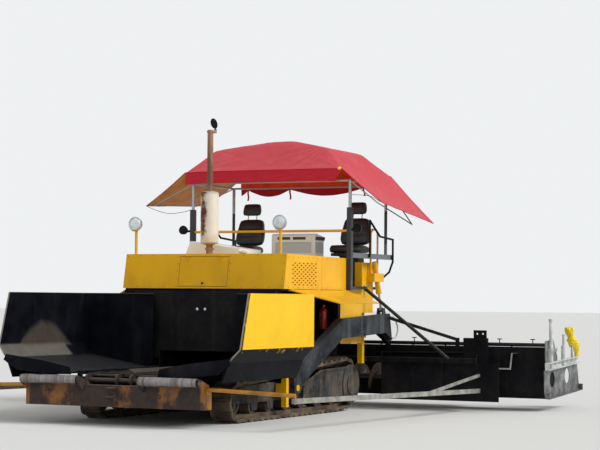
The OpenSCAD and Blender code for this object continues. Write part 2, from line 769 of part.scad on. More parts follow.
// Posts, rails, side bars and awning rods on both sides of the platform
module canopy_posts() {
    rail_z = deck_z + 390;
    placed() color("slategray") {
        both_sides() {
            block([x_front - 35, hood_hw, hood_z], [x_front + 35, post_out, 2800]);
            block([x_front - 30, hood_hw - 40, hood_z], [x_front + 30, hood_hw, deck_low]);
            bar([x_front, post_mid, 2800], [x_front, post_mid, roof_bar_z], post_r);
            block([deck_rear, hood_hw + 10, rail_z], [x_front - 35, post_out, rail_z + 70]);
            bar([x_rear, post_mid, rail_z + 70], [x_rear, post_mid, roof_bar_z], post_r);
            bar([x_front, post_mid, roof_bar_z], [x_rear, post_mid, roof_bar_z], roof_bar_r);
        }
        awning_prop(AWNING_LEFT, 1, roof_bar_z);
        awning_prop(AWNING_RIGHT, -1, roof_bar_z);
    }
}

// Cross bars and bows under the canopy's cloth, their ends cut to fit the side bars
module canopy_frame() {
    reach = post_mid - post_r - seat_gap;
    placed() color("slategray") {
        for (x = [x_front, x_rear]) bar([x, -reach, roof_bar_z], [x, reach, roof_bar_z], roof_bar_r);
        difference() {
            union() {
                roof_bow(BOW_X[1], FRONT_TOP, eave_z + shoulder_rise - bow_drop);
                roof_bow(BOW_X[0], REAR_TOP, eave_z + rear_rise - bow_drop);
            }
            both_sides() bar([x_front, post_mid, roof_bar_z], [x_rear, post_mid, roof_bar_z],
                roof_bar_r + seat_gap);
        }
    }
}

// Bow across the roof between the side bars, with its shoulders under a top edge of the cloth
module roof_bow(x, shoulders, z) {
    bent_bar([[x, -post_mid, roof_bar_z], [x, shoulders[0] + 30, z], [x, shoulders[1] - 30, z],
        [x, post_mid, roof_bar_z]], bow_r);
}

// Thin rod on each side that holds an awning out
module awning_prop(edge, side, top) {
    out = abs(edge[0][0]) - 110;
    bent_bar([[x_front, side * post_mid, top], [x_front, side * out, edge[0][1] + 10],
        [x_rear, side * out, edge[1][1] - 30], [x_rear, side * post_mid, top]], 8);
}

// Thin slab through the given corners
module sheet(corners, t) {
    hull() for (p = corners) translate(p) cube(t, center = true);
}

// Canopy: hipped roof with front and rear valances and an awning on each side
module canopy_cover() {
    x0 = canopy_mid + canopy_hl;
    x1 = canopy_mid - canopy_hl;
    t = 16;
    low = eave_z - 180;
    rear_low = eave_z - 240;
    placed() color("firebrick") {
        difference() {
            roof_form();
            translate([0, 0, -cover_t]) roof_form();
        }
        cross_plate([[CANOPY_Y[0], eave_z], [CANOPY_Y[1], eave_z], [CANOPY_Y[1], low], [0, low + 30],
            [CANOPY_Y[0], low]], x0 - t, t);
        cross_plate([[CANOPY_Y[0], eave_z], [CANOPY_Y[1], eave_z], [CANOPY_Y[1], rear_low],
            [0, rear_low - 40], [CANOPY_Y[0], rear_low]], x1, t);
        awning(CANOPY_Y[1], AWNING_LEFT, x0, x1, t);
        awning(CANOPY_Y[0], AWNING_RIGHT, x0, x1, t);
    }
}

// Awning from an eave out to its lower edge
module awning(eave_y, edge, x0, x1, t) {
    sheet([[x0 - 8, eave_y, eave_z - 8], [x1 + 8, eave_y, eave_z - 8], [x1 - 100, edge[1][0], edge[1][1]],
        [x0, edge[0][0], edge[0][1]]], t);
}

// Hipped form under which the canopy's cloth lies
module roof_form() {
    hull() {
        block([canopy_mid - canopy_hl, CANOPY_Y[0], eave_z - 8],
            [canopy_mid + canopy_hl, CANOPY_Y[1], eave_z]);
        block([TOP_X[1] - 10, FRONT_TOP[0], eave_z + shoulder_rise - 10],
            [TOP_X[1], FRONT_TOP[1], eave_z + shoulder_rise]);
        block([TOP_X[0], REAR_TOP[0], eave_z + rear_rise - 10],
            [TOP_X[0] + 10, REAR_TOP[1], eave_z + rear_rise]);
        block([CREST_X[0], CREST_Y[0], eave_z + canopy_rise - 10],
            [CREST_X[1], CREST_Y[1], eave_z + canopy_rise]);
    }
}

// Yellow handrail across the platform's front
module front_rail() {
    placed() color("gold") bar([x_front, -hood_hw, 2480], [x_front, hood_hw, 2480], 18);
}

// Rails at the platform's sides
module side_rails() {
    y = post_out + 15;
    rear = deck_rear + 40;
    placed() color([0.1, 0.1, 0.11]) both_sides() {
        bent_bar([[-1900, y, 2130], [-1900, y, 2640], [-2250, y, 2430], [rear, y, 2400], [rear, y, 2080],
            [rear + 60, y - 30, 1930], [rear + 150, arm_mid, 1850], [tower_x[0] - 120, arm_mid, 1850]], 15);
        for (x = [-1900, rear]) block([x - 24, post_out, 2125], [x + 24, post_out + 20, 2165]);
    }
}

// Head lamps on posts over the hood, and work lamps on the canopy's posts
module lamps() {
    lamp_y = hood_hw - 120;
    lamp_x = HOOD_FACE[1][0] - 46;
    lamp_z = hood_top + 400;
    placed() color("silver") {
        both_sides() difference() {
            union() {
                bar([lamp_x, lamp_y, hood_top - 40], [lamp_x, lamp_y, lamp_z - 80], 20);
                translate([lamp_x, lamp_y, lamp_z]) rotate([0, 90, 0]) rotate_extrude()
                    polygon([[0, -82], [34, -76], [70, -42], [90, 0], [100, 30], [100, 44], [90, 44],
                        [80, 34], [0, 40]]);
            }
            hood_form();
        }
        for (y = [-6, 109]) translate([700, y, 1396]) rotate([0, 90, 0]) cylinder(r = 18, h = 16);
    }
}

// Black work lamps on arms outside the front posts
module work_lamps() {
    placed() color([0.1, 0.1, 0.11]) both_sides() {
        block([x_front - 20, post_out, 2480], [x_front + 20, post_out + 100, 2510]);
        translate([x_front + 20, post_out + 100, 2505]) rotate([0, 80, 0]) rotate_extrude()
            polygon([[0, -50], [24, -50], [56, -10], [64, 30], [64, 44], [56, 44], [50, 34], [0, 40]]);
    }
}

// Exhaust: muffler and pipe
module exhaust() {
    muffler_r = 122;
    MUFFLER_Z = [2260, 2990];
    placed() color("silver") difference() {
        union() {
            translate([pipe_x, pipe_y, 0]) {
                translate([0, 0, hood_top - 30]) cylinder(r = 45, h = 180);
                translate([0, 0, 2190]) cylinder(r = 58, h = 26);
                rotate_extrude() polygon([[0, MUFFLER_Z[0]], [60, MUFFLER_Z[0]],
                    [muffler_r - 8, MUFFLER_Z[0] + 18],
                    [muffler_r, MUFFLER_Z[0] + 30], [muffler_r, MUFFLER_Z[1] - 30],
                    [muffler_r - 8, MUFFLER_Z[1] - 18], [60, MUFFLER_Z[1]], [0, MUFFLER_Z[1]]]);
                translate([0, 0, MUFFLER_Z[1]]) cylinder(r = pipe_r, h = pipe_top - MUFFLER_Z[1]);
                translate([0, 0, pipe_top - 34]) cylinder(r = pipe_r + 8, h = 24);
            }
            at_cap() for (s = [-1, 1]) difference() {
                side_plate([[-cap_arm - 7, cap_pin_up + 7], [-cap_arm - 7, -40], [6 - pipe_r, -40],
                    [6 - pipe_r, -12], [-cap_arm + 7, -12], [-cap_arm + 7, cap_pin_up + 7]], s * 16 - 3, 6);
                translate([-cap_arm, s * 16, cap_pin_up]) rotate([90, 0, 0])
                    cylinder(r = cap_pin_r + run_gap, h = 8, center = true);
            }
        }
        hood_form();
        translate([pipe_x, pipe_y, pipe_top - 300]) cylinder(r = pipe_r - 4, h = 301);
    }
}

// Frame of the rain cap at the pipe's end: its hinge lies towards the local -X
module at_cap() {
    translate([pipe_x, pipe_y, pipe_top]) rotate([0, 0, cap_turn]) children();
}

// Rain flap on the exhaust pipe, standing open
module rain_cap() {
    placed() color("black") at_cap() translate([-cap_arm, 0, cap_pin_up]) rotate([0, -cap_open, 0]) {
        translate([cap_arm, 0, -3]) cylinder(r = cap_r, h = 6);
        block([-6, -9, -5], [30, 9, 5]);
        rotate([90, 0, 0]) cylinder(r = cap_pin_r, h = 38, center = true);
    }
}

// Rear towers with guide columns and the lift cylinders' barrels
module lift_towers() {
    rail_y = tower_y[1] + 42;
    legs = [tower_x[0] - 60, tower_x[0] + 180];
    foot_z = 1790;
    mast_x = tower_x[1] - 180;
    placed() color("gold") {
        both_sides() {
            side_plate([[tower_x[0], 1350], [tower_x[0], 1990], [tower_x[0] + 60, 2060], [tower_x[1], 2060],
                [tower_x[1], 1350]], tower_y[0], tower_y[1] - tower_y[0]);
            block([mast_x, tower_y[0], 640], [mast_x + 80, tower_y[1] - 40, 1350]);
            block([mast_x - 20, tower_y[0], 1000], [mast_x + 100, tower_y[1] - 20, 1080]);
            difference() {
                union() {
                    at_lug() translate([0, 0, gland_up]) cylinder(r = barrel_r, h = barrel_l);
                    at_lug() translate([0, 0, gland_up]) cylinder(r = barrel_r + 5, h = 36);
                    block([tower_x[0] - 120, tower_y[1], foot_z],
                        [tower_x[0] + 210, arm_mid + 44, foot_z + 120]);
                    block([tower_x[0] - 120, tower_y[1] - 40, foot_z],
                        [tower_x[0], tower_y[1], foot_z + 120]);
                }
                at_lug() translate([0, 0, gland_up - 1]) cylinder(r = rod_r + run_gap, h = barrel_l - 20);
            }
        }
        bent_bar([[legs[0], rail_y, foot_z + 100], [legs[0], rail_y, 2480], [legs[0] + 60, rail_y, 2530],
            [legs[1] - 60, rail_y, 2530], [legs[1], rail_y, 2480], [legs[1], rail_y, foot_z + 100]], 14);
    }
}

// Axis of the left lift cylinder at rest, from the lug's pin upwards
module at_lug() {
    translate([lug_rest[0], arm_mid, lug_rest[1]]) rotate([0, cyl_tilt, 0]) children();
}

// Rod of a lift cylinder, with its eye round the lug's pin
module lift_rod(side) {
    placed() color("silver") mirror([0, side > 0 ? 0 : 1, 0]) at_lug()
        difference() {
            union() {
                translate([0, 0, 30]) cylinder(r = rod_r, h = rod_l - 30);
                rotate([90, 0, 0]) cylinder(r = 40, h = 36, center = true);
            }
            rotate([90, 0, 0]) cylinder(r = eye_bore_r, h = 60, center = true);
        }
}

module lift_rod_left() { lift_rod(1); }
module lift_rod_right() { lift_rod(-1); }

// Tow points: yellow guides and pins that carry the arms' feet
module tow_brackets() {
    placed() color("gold") both_sides() {
        block([tow_x + 130, arm_y - 30, 150], [tow_x + 200, arm_y + 40, 560]);
        block([tow_x - 100, track_y + chain_w / 2 + 20, 330], [tow_x + 200, arm_y - 30, 450]);
        translate([tow_x, track_out + 6, tow_z]) rotate([-90, 0, 0])
            cylinder(r = tow_pin_r, h = arm_y + arm_t + 14 - track_out - 6);
    }
}

// Tube across the front, between the ends of the tie bars
module cross_tube() {
    flange_y = transport_w / 2;
    placed() color("darkorange") both_sides() {
        difference() {
            bar([tube_x, flange_y - 20, TUBE_END[2] + 40], TUBE_END, tube_r);
            block([tube_x - 60, flange_y - 60, 300], [tube_x + 60, flange_y, 600]);
        }
        block([tube_x - 50, flange_y, 395], [tube_x + 50, flange_y + 12, 478]);
        translate([tube_x, TUBE_END[1], TUBE_END[2] - 100]) cylinder(r = tie_pin_r, h = 110);
    }
}

// Tie bars and struts that brace the auger tunnel's ends
module braces() {
    foot = [tunnel_x + 16, tunnel_y[1] + 40, 290];
    head = TUBE_END - [0, 0, 62];
    mid = head + (foot - head) * 0.68;
    placed() color("darkgray") both_sides() {
        difference() {
            union() {
                flat_bar(head, foot, 60, 30);
                translate(head - [0, 0, 30]) cylinder(r = 40, h = 60);
                flat_bar(mid, foot + [0, 0, 215], 40, 24);
            }
            translate(head - [0, 0, 60]) cylinder(r = tie_pin_r + run_gap, h = 120);
            block([tunnel_x - 200, 2000, 0], [tunnel_x + 16, 3000, 900]);
        }
        difference() {
            bar([tower_x[1] - 60, 1050, 1760], [tunnel_x + 60, 2295, beam_low + 62], 24);
            block([-3000, 0, 1000], [-1000, tower_y[1], 2500]);
            block([tunnel_x - 100, tunnel_y[0], 0], [tunnel_x + 70, tunnel_y[1], beam_low + 70]);
        }
    }
}

// Auger tunnel: plates, top beam, end boxes and the chain case in the middle
module auger_frame() {
    link_y = frame_w / 2 - plate_t;
    placed() color([0.12, 0.12, 0.13]) both_sides() {
        block([tunnel_x, tunnel_y[0], 140], [tunnel_x + 16, tunnel_y[1] + 320, beam_low]);
        block([tunnel_x, link_y, beam_low], [tunnel_x + 70, tunnel_y[1], beam_low + 70]);
        block([tunnel_x + 70, link_y, beam_low], [frame_rear, link_y + plate_t, beam_low + 200]);
        block([tunnel_x + 70, tower_y[0] + 12, beam_low], [-2180, body_hw - 52, beam_low + 60]);
        for (y = [1700, 2200]) side_plate([[tunnel_x + 16, 200], [tunnel_x + 16, beam_low],
            [tunnel_x + 66, beam_low]],
            y, 12);
    }
}

// Bearing plates at the augers' outer ends
module auger_ends() {
    placed() color([0.12, 0.12, 0.13]) both_sides() difference() {
        side_plate([[tunnel_x, 200], [auger_x - 40, auger_z - 80], [auger_x - 80, auger_z],
            [auger_x - 40, auger_z + 80], [tunnel_x, beam_low]], auger_out, end_t);
        auger_bore();
    }
}

// Chain case in the middle that drives both augers
module auger_case() {
    placed() color([0.12, 0.12, 0.13]) {
        difference() {
            side_plate([[auger_x - 90, auger_z - 60], [auger_x - 60, auger_z - 110],
                [auger_x + 60, auger_z - 110],
                [auger_x + 90, auger_z - 60], [auger_x + 90, beam_low + 200],
                [auger_x + 40, beam_low + 240],
                [auger_x - 40, beam_low + 240], [auger_x - 90, beam_low + 200]], -auger_in, 2 * auger_in);
            auger_bore();
        }
        block([auger_x + 90, -auger_in, beam_low], [frame_rear, auger_in, beam_low + 200]);
        block([frame_rear - 30, -frame_w / 2, frame_top - 70], [frame_rear, frame_w / 2, frame_top]);
    }
}

// Bore for the augers' shafts
module auger_bore() {
    translate([auger_x, 0, auger_z]) rotate([90, 0, 0])
        cylinder(r = shaft_r + run_gap, h = 2 * auger_out + 200, center = true);
}

// Helical flight on a shaft
module auger(side) {
    placed() color("dimgray") mirror([0, side > 0 ? 0 : 1, 0]) translate([auger_x, 0, auger_z]) {
        rotate([-90, 0, 0]) translate([0, 0, shaft_start]) cylinder(r = shaft_r,
            h = shaft_end - shaft_start);
        flight();
    }
}

// Flight of an auger: a helical strip round its shaft that carries the mix outwards
module flight() {
    steps_per_turn = 16;
    t = 14;
    start = auger_in + 40;
    length = auger_out - 40 - start;
    steps = round(length / auger_pitch * steps_per_turn);
    r_in = (shaft_r + seat_gap) / cos(180 / steps_per_turn);
    RADII = [[r_in, -t / 2], [auger_r, -t / 2], [auger_r, t / 2], [r_in, t / 2]];
    points = [for (k = [0 : steps], q = RADII)
        let (a = 360 * k / steps_per_turn) [q[0] * cos(a), start + length * k / steps + q[1],
            q[0] * sin(a)]];
    sides = [for (k = [0 : steps - 1], j = [0 : 3], half = [0, 1])
        let (a = 4 * k + j, b = 4 * k + (j + 1) % 4)
        j < 2 ? (half == 0 ? [a + 4, b + 4, b] : [a + 4, b, a])
            : (half == 0 ? [a + 4, b + 4, a] : [b + 4, b, a])];
    last = 4 * steps;
    ends = [[0, 1, 2], [0, 2, 3], [last + 3, last + 2, last + 1], [last + 3, last + 1, last]];
    polyhedron(points, concat(sides, ends));
}

module auger_left() { auger(1); }
module auger_right() { auger(-1); }

// Hopper wing: floor, slope, side plate, skirt and rear panel
module wing(side) {
    t = wing_t;
    wing_front = beam_front - 20;
    placed() color([0.08, 0.08, 0.09]) mirror([0, side > 0 ? 0 : 1, 0]) {
        difference() {
            translate([wing_rear, 0, 0]) rotate([90, 0, 90]) linear_extrude(wing_front - wing_rear)
                polygon([[hinge_y + 40, wing_hinge_z + 8], floor_out, [wing_y - t, side_low_z],
                    [wing_y - t, wing_top], [wing_y, wing_top], [wing_y, side_low_z],
                    [floor_out[0] + t, floor_out[1] - 12], skirt_foot, skirt_foot - [t, 0],
                    [floor_out[0] - 20, floor_out[1] - t - 6], [hinge_y + 40, wing_hinge_z - t + 8]]);
            translate([wing_lean_x, 0, wing_top + 1]) rotate([0, -wing_lean, 0])
                block([0, 0, -1200], [600, wing_y + 300, 400]);
        }
        cross_plate([[hinge_y + 24, wing_hinge_z + 60], [hinge_y + 24, wing_top], [wing_y - t, wing_top],
            [wing_y - t, side_low_z], floor_out, [hinge_y + 80, wing_hinge_z + 14]], wing_rear, t);
        for (i = [0, 1]) {
            a = WING_LUGS[i] + 40 + move_gap;
            b = WING_LUGS[i + 1] - move_gap;
            difference() {
                union() {
                    translate([a, hinge_y, wing_hinge_z]) rotate([0, 90, 0])
                        cylinder(r = hinge_r, h = b - a);
                    block([a, hinge_y + 10, wing_hinge_z - 14], [b, hinge_y + 50, wing_hinge_z + 8]);
                }
                translate([a - 1, hinge_y, wing_hinge_z]) rotate([0, 90, 0])
                    cylinder(r = hinge_pin_r + run_gap, h = b - a + 2);
            }
        }
    }
}

module wing_left() { wing(1); }
module wing_right() { wing(-1); }

// Yellow skin on a wing's side plate
module wing_panel(side) {
    placed() color("gold") mirror([0, side > 0 ? 0 : 1, 0])
        side_plate([[wing_rear, side_low_z], [wing_rear, wing_top], [wing_lean_x - 15, wing_top],
            [wing_lean_x + 175, side_low_z]], wing_y, 8);
}

module wing_panel_left() { wing_panel(1); }
module wing_panel_right() { wing_panel(-1); }

// Rubber lip at a wing's front edge
module wing_lip(side) {
    placed() color([0.05, 0.05, 0.06]) mirror([0, side > 0 ? 0 : 1, 0])
        cross_plate([[hinge_y + 10, wing_hinge_z - 22], [hinge_y + 30, wing_hinge_z + 68],
            floor_out - [545, 30], floor_out + [15, 40], floor_out + [55, -30], floor_out - [145, 150],
            floor_out - [545, 190]], beam_front - 20, 14);
}

module wing_lip_left() { wing_lip(1); }
module wing_lip_right() { wing_lip(-1); }

// Opened side flap with its stay
module side_flap(side) {
    placed() color("gold") mirror([0, side > 0 ? 0 : 1, 0])
        translate([0, flap_hinge[0], flap_hinge[1]]) rotate([-flap_droop, 0, 0]) {
            difference() {
                translate([0, 0, -flap_t / 2]) linear_extrude(flap_t)
                    polygon([[flap_x[0], 0], [flap_x[0] - 360, flap_l], [flap_x[1] + 100, flap_l],
                        [flap_x[1], 0]]);
                for (x = FLAP_KNUCKLES)
                    block([x - 20 - move_gap, -20, -40], [x + 20 + move_gap, 34, 40]);
            }
            translate([flap_x[1], 0, 0]) rotate([0, 90, 0]) cylinder(r = flap_pin_r,
                h = flap_x[0] - flap_x[1]);
        }
}

module side_flap_left() { side_flap(1); }
module side_flap_right() { side_flap(-1); }

// Tow arms in the working position, carried to rest
module tow_arms() {
    placed() color("slategray") lifted() both_sides() difference() {
        union() {
            side_plate([[tow_x + 109, 599], [-1144, 1200], [-2757, 1182], [-2826, 796], [-2618, 914],
                [-1136, 930], [77, 446], [tow_x - 90, 320], [tow_x + 60, 300]], arm_y, arm_t);
            for (y = [arm_y, arm_y + arm_t - 22]) side_plate(
                [[lug_work[0] - 55, 1170], [lug_work[0] - 28, lug_work[1] + 20],
                    [lug_work[0] + 28, lug_work[1] + 20],
                 [lug_work[0] + 55, 1170]], y, 22);
            translate([lug_work[0], arm_mid, lug_work[1]]) rotate([90, 0, 0])
                cylinder(r = lug_pin_r, h = arm_t - 10, center = true);
        }
        translate([tow_x, arm_y - 1, tow_z]) rotate([-90, 0, 0])
            cylinder(r = tow_pin_r + run_gap, h = arm_t + 2);
    }
}

// Screed box over the whole paving width
module screed_body() {
    hw = paving_w / 2;
    t = 14;
    back = screed_front - screed_d;
    BAY = [[screed_front - t, 30 + t], [screed_front - t, screed_h - 20],
        [screed_front - 160, screed_h - 20], [back + t, 300],
        [back + t, t + 6], [screed_front - 40, t + 6]];
    placed() color([0.1, 0.1, 0.11]) lifted() {
        side_plate([[screed_front, 30], [screed_front, screed_h], [screed_front - 60, screed_h],
            [screed_front - 60, screed_h - t], [screed_front - t, screed_h - t], [screed_front - t, 30 + t],
            [screed_front - 40, t + 6], [back + t, t + 6],
            [back + t, 300], [back, 300], [back, 0], [screed_front - 40, 0]], -hw, 2 * hw);
        for (y = SCREED_RIBS) side_plate(BAY, y - t / 2, t);
        both_sides() side_plate(BAY, hw - t, t);
    }
}

// Cheeks between the tow arms and the screed, and the ends of the basic screed with drilled tabs
module screed_brackets() {
    depth = 50;
    placed() color([0.1, 0.1, 0.11]) lifted() both_sides() {
        side_plate([[-2500, 940], [-2500, 1150], [-2700, 1150], [screed_front - 24, 900],
            [screed_front - 60, 860],
            [screed_front - 60, screed_h], [screed_front, screed_h], [-2900, screed_h + 40]],
            arm_y - 60, 60);
        block([screed_front, MAIN_END[0], 470], [screed_front + depth, MAIN_END[1], 838]);
        difference() {
            block([screed_front + 20, MAIN_END[0] + 150, 838], [screed_front + 34, MAIN_END[1] - 16, 950]);
            for (y = [MAIN_END[0] + 205, MAIN_END[1] - 70]) translate([screed_front, y, 900])
                rotate([0, 90, 0]) cylinder(r = tab_hole_r, h = depth);
        }
    }
}

// Pipes along the screed's top
module screed_rails() {
    hw = paving_w / 2;
    x = screed_front + 22;
    rail_z = screed_h + 32;
    rail_x = screed_front - 34;
    placed() color([0.1, 0.1, 0.11]) lifted() {
        difference() {
            bar([rail_x, -hw, rail_z], [rail_x, hw, rail_z], 26);
            both_sides() block([rail_x - 60, arm_y - 60 - 1, 700], [rail_x + 60, arm_y + 1, 900]);
        }
        for (i = [-6 : 6]) block([rail_x - 10, i * hw / 7 - 8, screed_h],
            [rail_x + 10, i * hw / 7 + 8, rail_z]);
        both_sides() {
            for (y = [1520, 2820, 3310]) {
                bar([rail_x, y, rail_z], [rail_x, y, rail_z + 76], 7);
                bar([rail_x, y - 34, rail_z + 76], [rail_x, y + 34, rail_z + 76], 7);
            }
            bent_bar([[screed_front, 1018, 480], [x, 1018, 480], [x, 1040, 610], [x, 1640, 618],
                [x, 2280, 628], [screed_front, 2280, 628]], 14);
            for (y = [1480, 1700]) bar([screed_front, y, 616], [x, y, 616], 10);
            bent_bar([[screed_front + 50, 2510, 595], [screed_front + 78, 2510, 595],
                [screed_front + 78, 2510, 352],
                [screed_front + 40, 2206, 249], [screed_front, 2206, 249]], 13);
            bent_bar([[x, 2690, 413], [x, 2990, 413], [x, 3020, 640], [x, 3134, 648]], 11);
            block([screed_front, 2700, 398], [x, 2730, 428]);
            difference() {
                flat_bar([-2740, arm_y + 30, 1140], [screed_front + 30, 2200, 815], 44, 24);
                block([-2900, 0, 900], [-2600, arm_y + arm_t, 1300]);
            }
            block([screed_front, 2170, 640], [screed_front + 14, 2230, 838]);
        }
    }
}

// Walkway behind the screed
module walkway() {
    back = screed_front - screed_d;
    placed() color("dimgray") lifted() {
        difference() {
            block([back - 420, -2400, 270], [back - 30, 2400, 300]);
            for (i = [-5 : 4]) block([back - 396, i * 478 + 29, 269], [back - 54, i * 478 + 449, 276]);
        }
        for (i = [-5 : 5]) side_plate([[back, 120], [back, 270], [back - 420, 270], [back - 420, 240]],
            i * 478 - 7, 14);
    }
}

// End gates
module end_gates() {
    y = paving_w / 2;
    placed() color("silver") lifted() both_sides() {
        difference() {
            side_plate([[gate_x[0], 90], [gate_x[0], 400], [gate_x[1] + 70, 400], [gate_x[1], 90],
                [gate_x[1], 0], [gate_x[0] - 60, 0]], y, 12);
            for (x = [gate_x[0] - 330, gate_x[0] - 1000]) translate([x, y - 1, 250]) rotate([-90, 0, 0])
                cylinder(r = 110, h = 14);
        }
        side_plate([[gate_x[0], 90], [gate_x[0] - 60, 0], [gate_x[1], 0], [gate_x[1], 90],
            [gate_x[1] + 12, 90], [gate_x[1] + 12, 12], [gate_x[0] - 66, 12], [gate_x[0] - 12, 90]],
            y + 12, 60);
        side_plate([[screed_front + 10, 540], [screed_front + 10, 810], [screed_front - 330, 810],
            [screed_front - 500, 560], [screed_front - 500, 400], [screed_front + 10, 400]], y, 12);
    }
}

// Screw posts, cranks and beams of the end gates
module gate_gear() {
    y = paving_w / 2 + 12;
    post_x = gate_x[0] - 200;
    placed() color("silver") lifted() both_sides() {
        difference() {
            block([gate_x[1] + 60, y, 405], [gate_x[0] - 20, y + 70, 505]);
            block([gate_x[1] + 59, y + 8, 413], [gate_x[0] - 28, y + 71, 497]);
        }
        for (x = [post_x, post_x - 560]) {
            block([x - 28, y, 505], [x + 28, y + 34, 700]);
            bar([x, y + 34, 420], [x, y + 34, x == post_x ? 1090 : 860], x == post_x ? 26 : 20);
            translate([x, y + 34, 640]) cylinder(r = 32, h = 50);
        }
        bar([post_x, y + 34, 1090], [post_x, y + 34, 1112], 32);
        bent_bar([[post_x, y + 40, 658], [post_x + 6, y + 114, 668], [post_x + 60, gear_reach - 10, 722]],
            10);
        bar([post_x - 560, y + 34, 846], [post_x - 640, y + 34, 846], 12);
    }
}

// Wrapped sensor on the left end gate
module sensor_cover() {
    at = [gate_x[0] - 1090, paving_w / 2 + 62, 505];
    placed() color("yellow") lifted() translate(at) {
        cylinder(r = 18, h = 160);
        translate([130, 0, 380]) sphere(r = 74);
        translate([20, 0, 250]) sphere(r = 88);
        translate([-150, 0, 170]) sphere(r = 80);
        bar([130, 0, 380], [20, 0, 250], 70);
        bar([20, 0, 250], [-150, 0, 170], 76);
        bar([-150, 0, 170], [-230, 0, 48], 34);
    }
}

main_frame();
push_beam();
conveyor();
body_frame();
engine_block();
extinguisher();
hood_shell();
roof_box();
filler_cap();
rear_body();
platform();
console();
seat_bases();
seat_left();
seat_right();
canopy_posts();
canopy_frame();
canopy_cover();
front_rail();
side_rails();
lamps();
work_lamps();
exhaust();
lift_towers();
track_left();
track_right();
track_frames();
track_wheels();
track_guards();
auger_frame();
auger_ends();
auger_case();
braces();
cross_tube();
tow_brackets();
wing_left();
wing_right();
wing_panel_left();
wing_panel_right();
wing_lip_left();
wing_lip_right();
push_roller_left();
push_roller_right();
hood_hatch();
side_flap_left();
side_flap_right();
rain_cap();
tow_arms();
screed_body();
screed_brackets();
screed_rails();
walkway();
end_gates();
gate_gear();
sensor_cover();
lift_rod_left();
lift_rod_right();
auger_left();
auger_right();
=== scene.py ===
# %% [markdown]
# # A tracked asphalt paver
#
# The machine spreads hot asphalt: a truck tips its load into the black hopper at the front, two chains carry
# it back through the body, two screws spread it sideways, and the long screed behind levels it. Its steel
# parts come from the solid model. This lesson gives them paint, dirt and rust, hangs the cloth roof, pads the
# seats and adds the small things that a solid model leaves out.

import itertools
import math

import bpy
import numpy as np
from mathutils import Matrix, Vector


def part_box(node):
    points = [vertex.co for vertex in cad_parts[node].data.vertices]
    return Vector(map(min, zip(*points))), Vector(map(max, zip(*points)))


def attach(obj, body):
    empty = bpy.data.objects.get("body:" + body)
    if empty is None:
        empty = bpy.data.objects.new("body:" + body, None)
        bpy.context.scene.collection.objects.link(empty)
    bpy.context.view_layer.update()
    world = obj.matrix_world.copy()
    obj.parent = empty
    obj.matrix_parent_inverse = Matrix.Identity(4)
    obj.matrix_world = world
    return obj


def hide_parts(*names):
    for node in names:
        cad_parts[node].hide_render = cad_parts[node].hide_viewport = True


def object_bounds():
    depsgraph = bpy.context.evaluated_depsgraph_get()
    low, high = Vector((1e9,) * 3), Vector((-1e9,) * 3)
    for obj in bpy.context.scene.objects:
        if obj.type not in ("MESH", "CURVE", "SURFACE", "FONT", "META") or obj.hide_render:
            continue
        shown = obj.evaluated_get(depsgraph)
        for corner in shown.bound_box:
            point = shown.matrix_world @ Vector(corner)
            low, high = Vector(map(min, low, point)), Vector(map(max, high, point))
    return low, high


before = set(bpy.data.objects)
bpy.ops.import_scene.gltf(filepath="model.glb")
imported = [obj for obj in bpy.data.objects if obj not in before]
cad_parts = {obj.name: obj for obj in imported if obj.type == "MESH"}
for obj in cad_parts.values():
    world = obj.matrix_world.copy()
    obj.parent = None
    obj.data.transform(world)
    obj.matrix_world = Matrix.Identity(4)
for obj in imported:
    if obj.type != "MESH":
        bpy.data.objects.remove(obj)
scene = bpy.context.scene
cad_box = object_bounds()
# Distance from the model's own origin to the middle of the part, in metres
MID = 0.747485
print("nodes in the frame:", len(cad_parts))

# %% [markdown]
# ## The camera
#
# The photograph was taken from far off with a long lens, from ahead of the machine and to its left. The
# place, the direction and the small roll were solved from points of the machine that can be named in the
# picture, such as the corners of the hood and the ends of the tracks.

# %% Camera
CAMERA_AT = np.array([22.613, 11.8502, 1.5289])
LOOKS_ALONG = np.array([-0.897047, -0.440111, 0.040099])
ROLL = math.radians(0.455)
# Both in millimetres; the ratio of the two is what the fit gave
SENSOR_WIDTH, FOCAL_LENGTH = 36, 111.617


def unit(vector):
    """The vector over its own length."""
    return np.array(vector, float) / np.linalg.norm(vector)


def aim(name, data, forward, roll=0.0, at=(0, 0, 0)):
    """Adds a camera or a lamp that looks along forward: right = forward x up, and up = right x forward."""
    thing = bpy.data.objects.new(name, data)
    scene.collection.objects.link(thing)
    forward = unit(forward)
    right = unit(np.cross(forward, [0, 0, 1.0]))
    up = np.cross(right, forward)
    c, s = math.cos(roll), math.sin(roll)
    placed = np.eye(4)
    placed[:3, :3] = np.array([right * c + up * s, up * c - right * s, -forward]).T
    placed[:3, 3] = at
    thing.matrix_world = Matrix(placed.tolist())
    return thing


camera = aim("camera", bpy.data.cameras.new("camera"), LOOKS_ALONG, ROLL, CAMERA_AT)
scene.camera = camera
camera.data.sensor_width = SENSOR_WIDTH
camera.data.lens = FOCAL_LENGTH
camera.data.clip_end = 500
print("camera is", round(float(np.linalg.norm(CAMERA_AT)), 1), "m from the machine")

# %% [markdown]
# ## Shader sums as Python
#
# Dirt is arithmetic: where a surface is low, and a noise is high, there is dust. Written node by node that
# fills pages. So one small class wraps a node's output and adds a Math node for each operator, and one
# class holds a finish with the few patterns that all of them share.

# %% Wires and finishes
def tint(code):
    """Linear colour from its sRGB code: a channel c becomes ((c + 0.055) / 1.055) ** 2.4."""
    parts = np.array([int(code[i : i + 2], 16) for i in (1, 3, 5)]) / 255
    linear = np.where(parts <= 0.04045, parts / 12.92, ((parts + 0.055) / 1.055) ** 2.4)
    return (*linear.tolist(), 1.0)


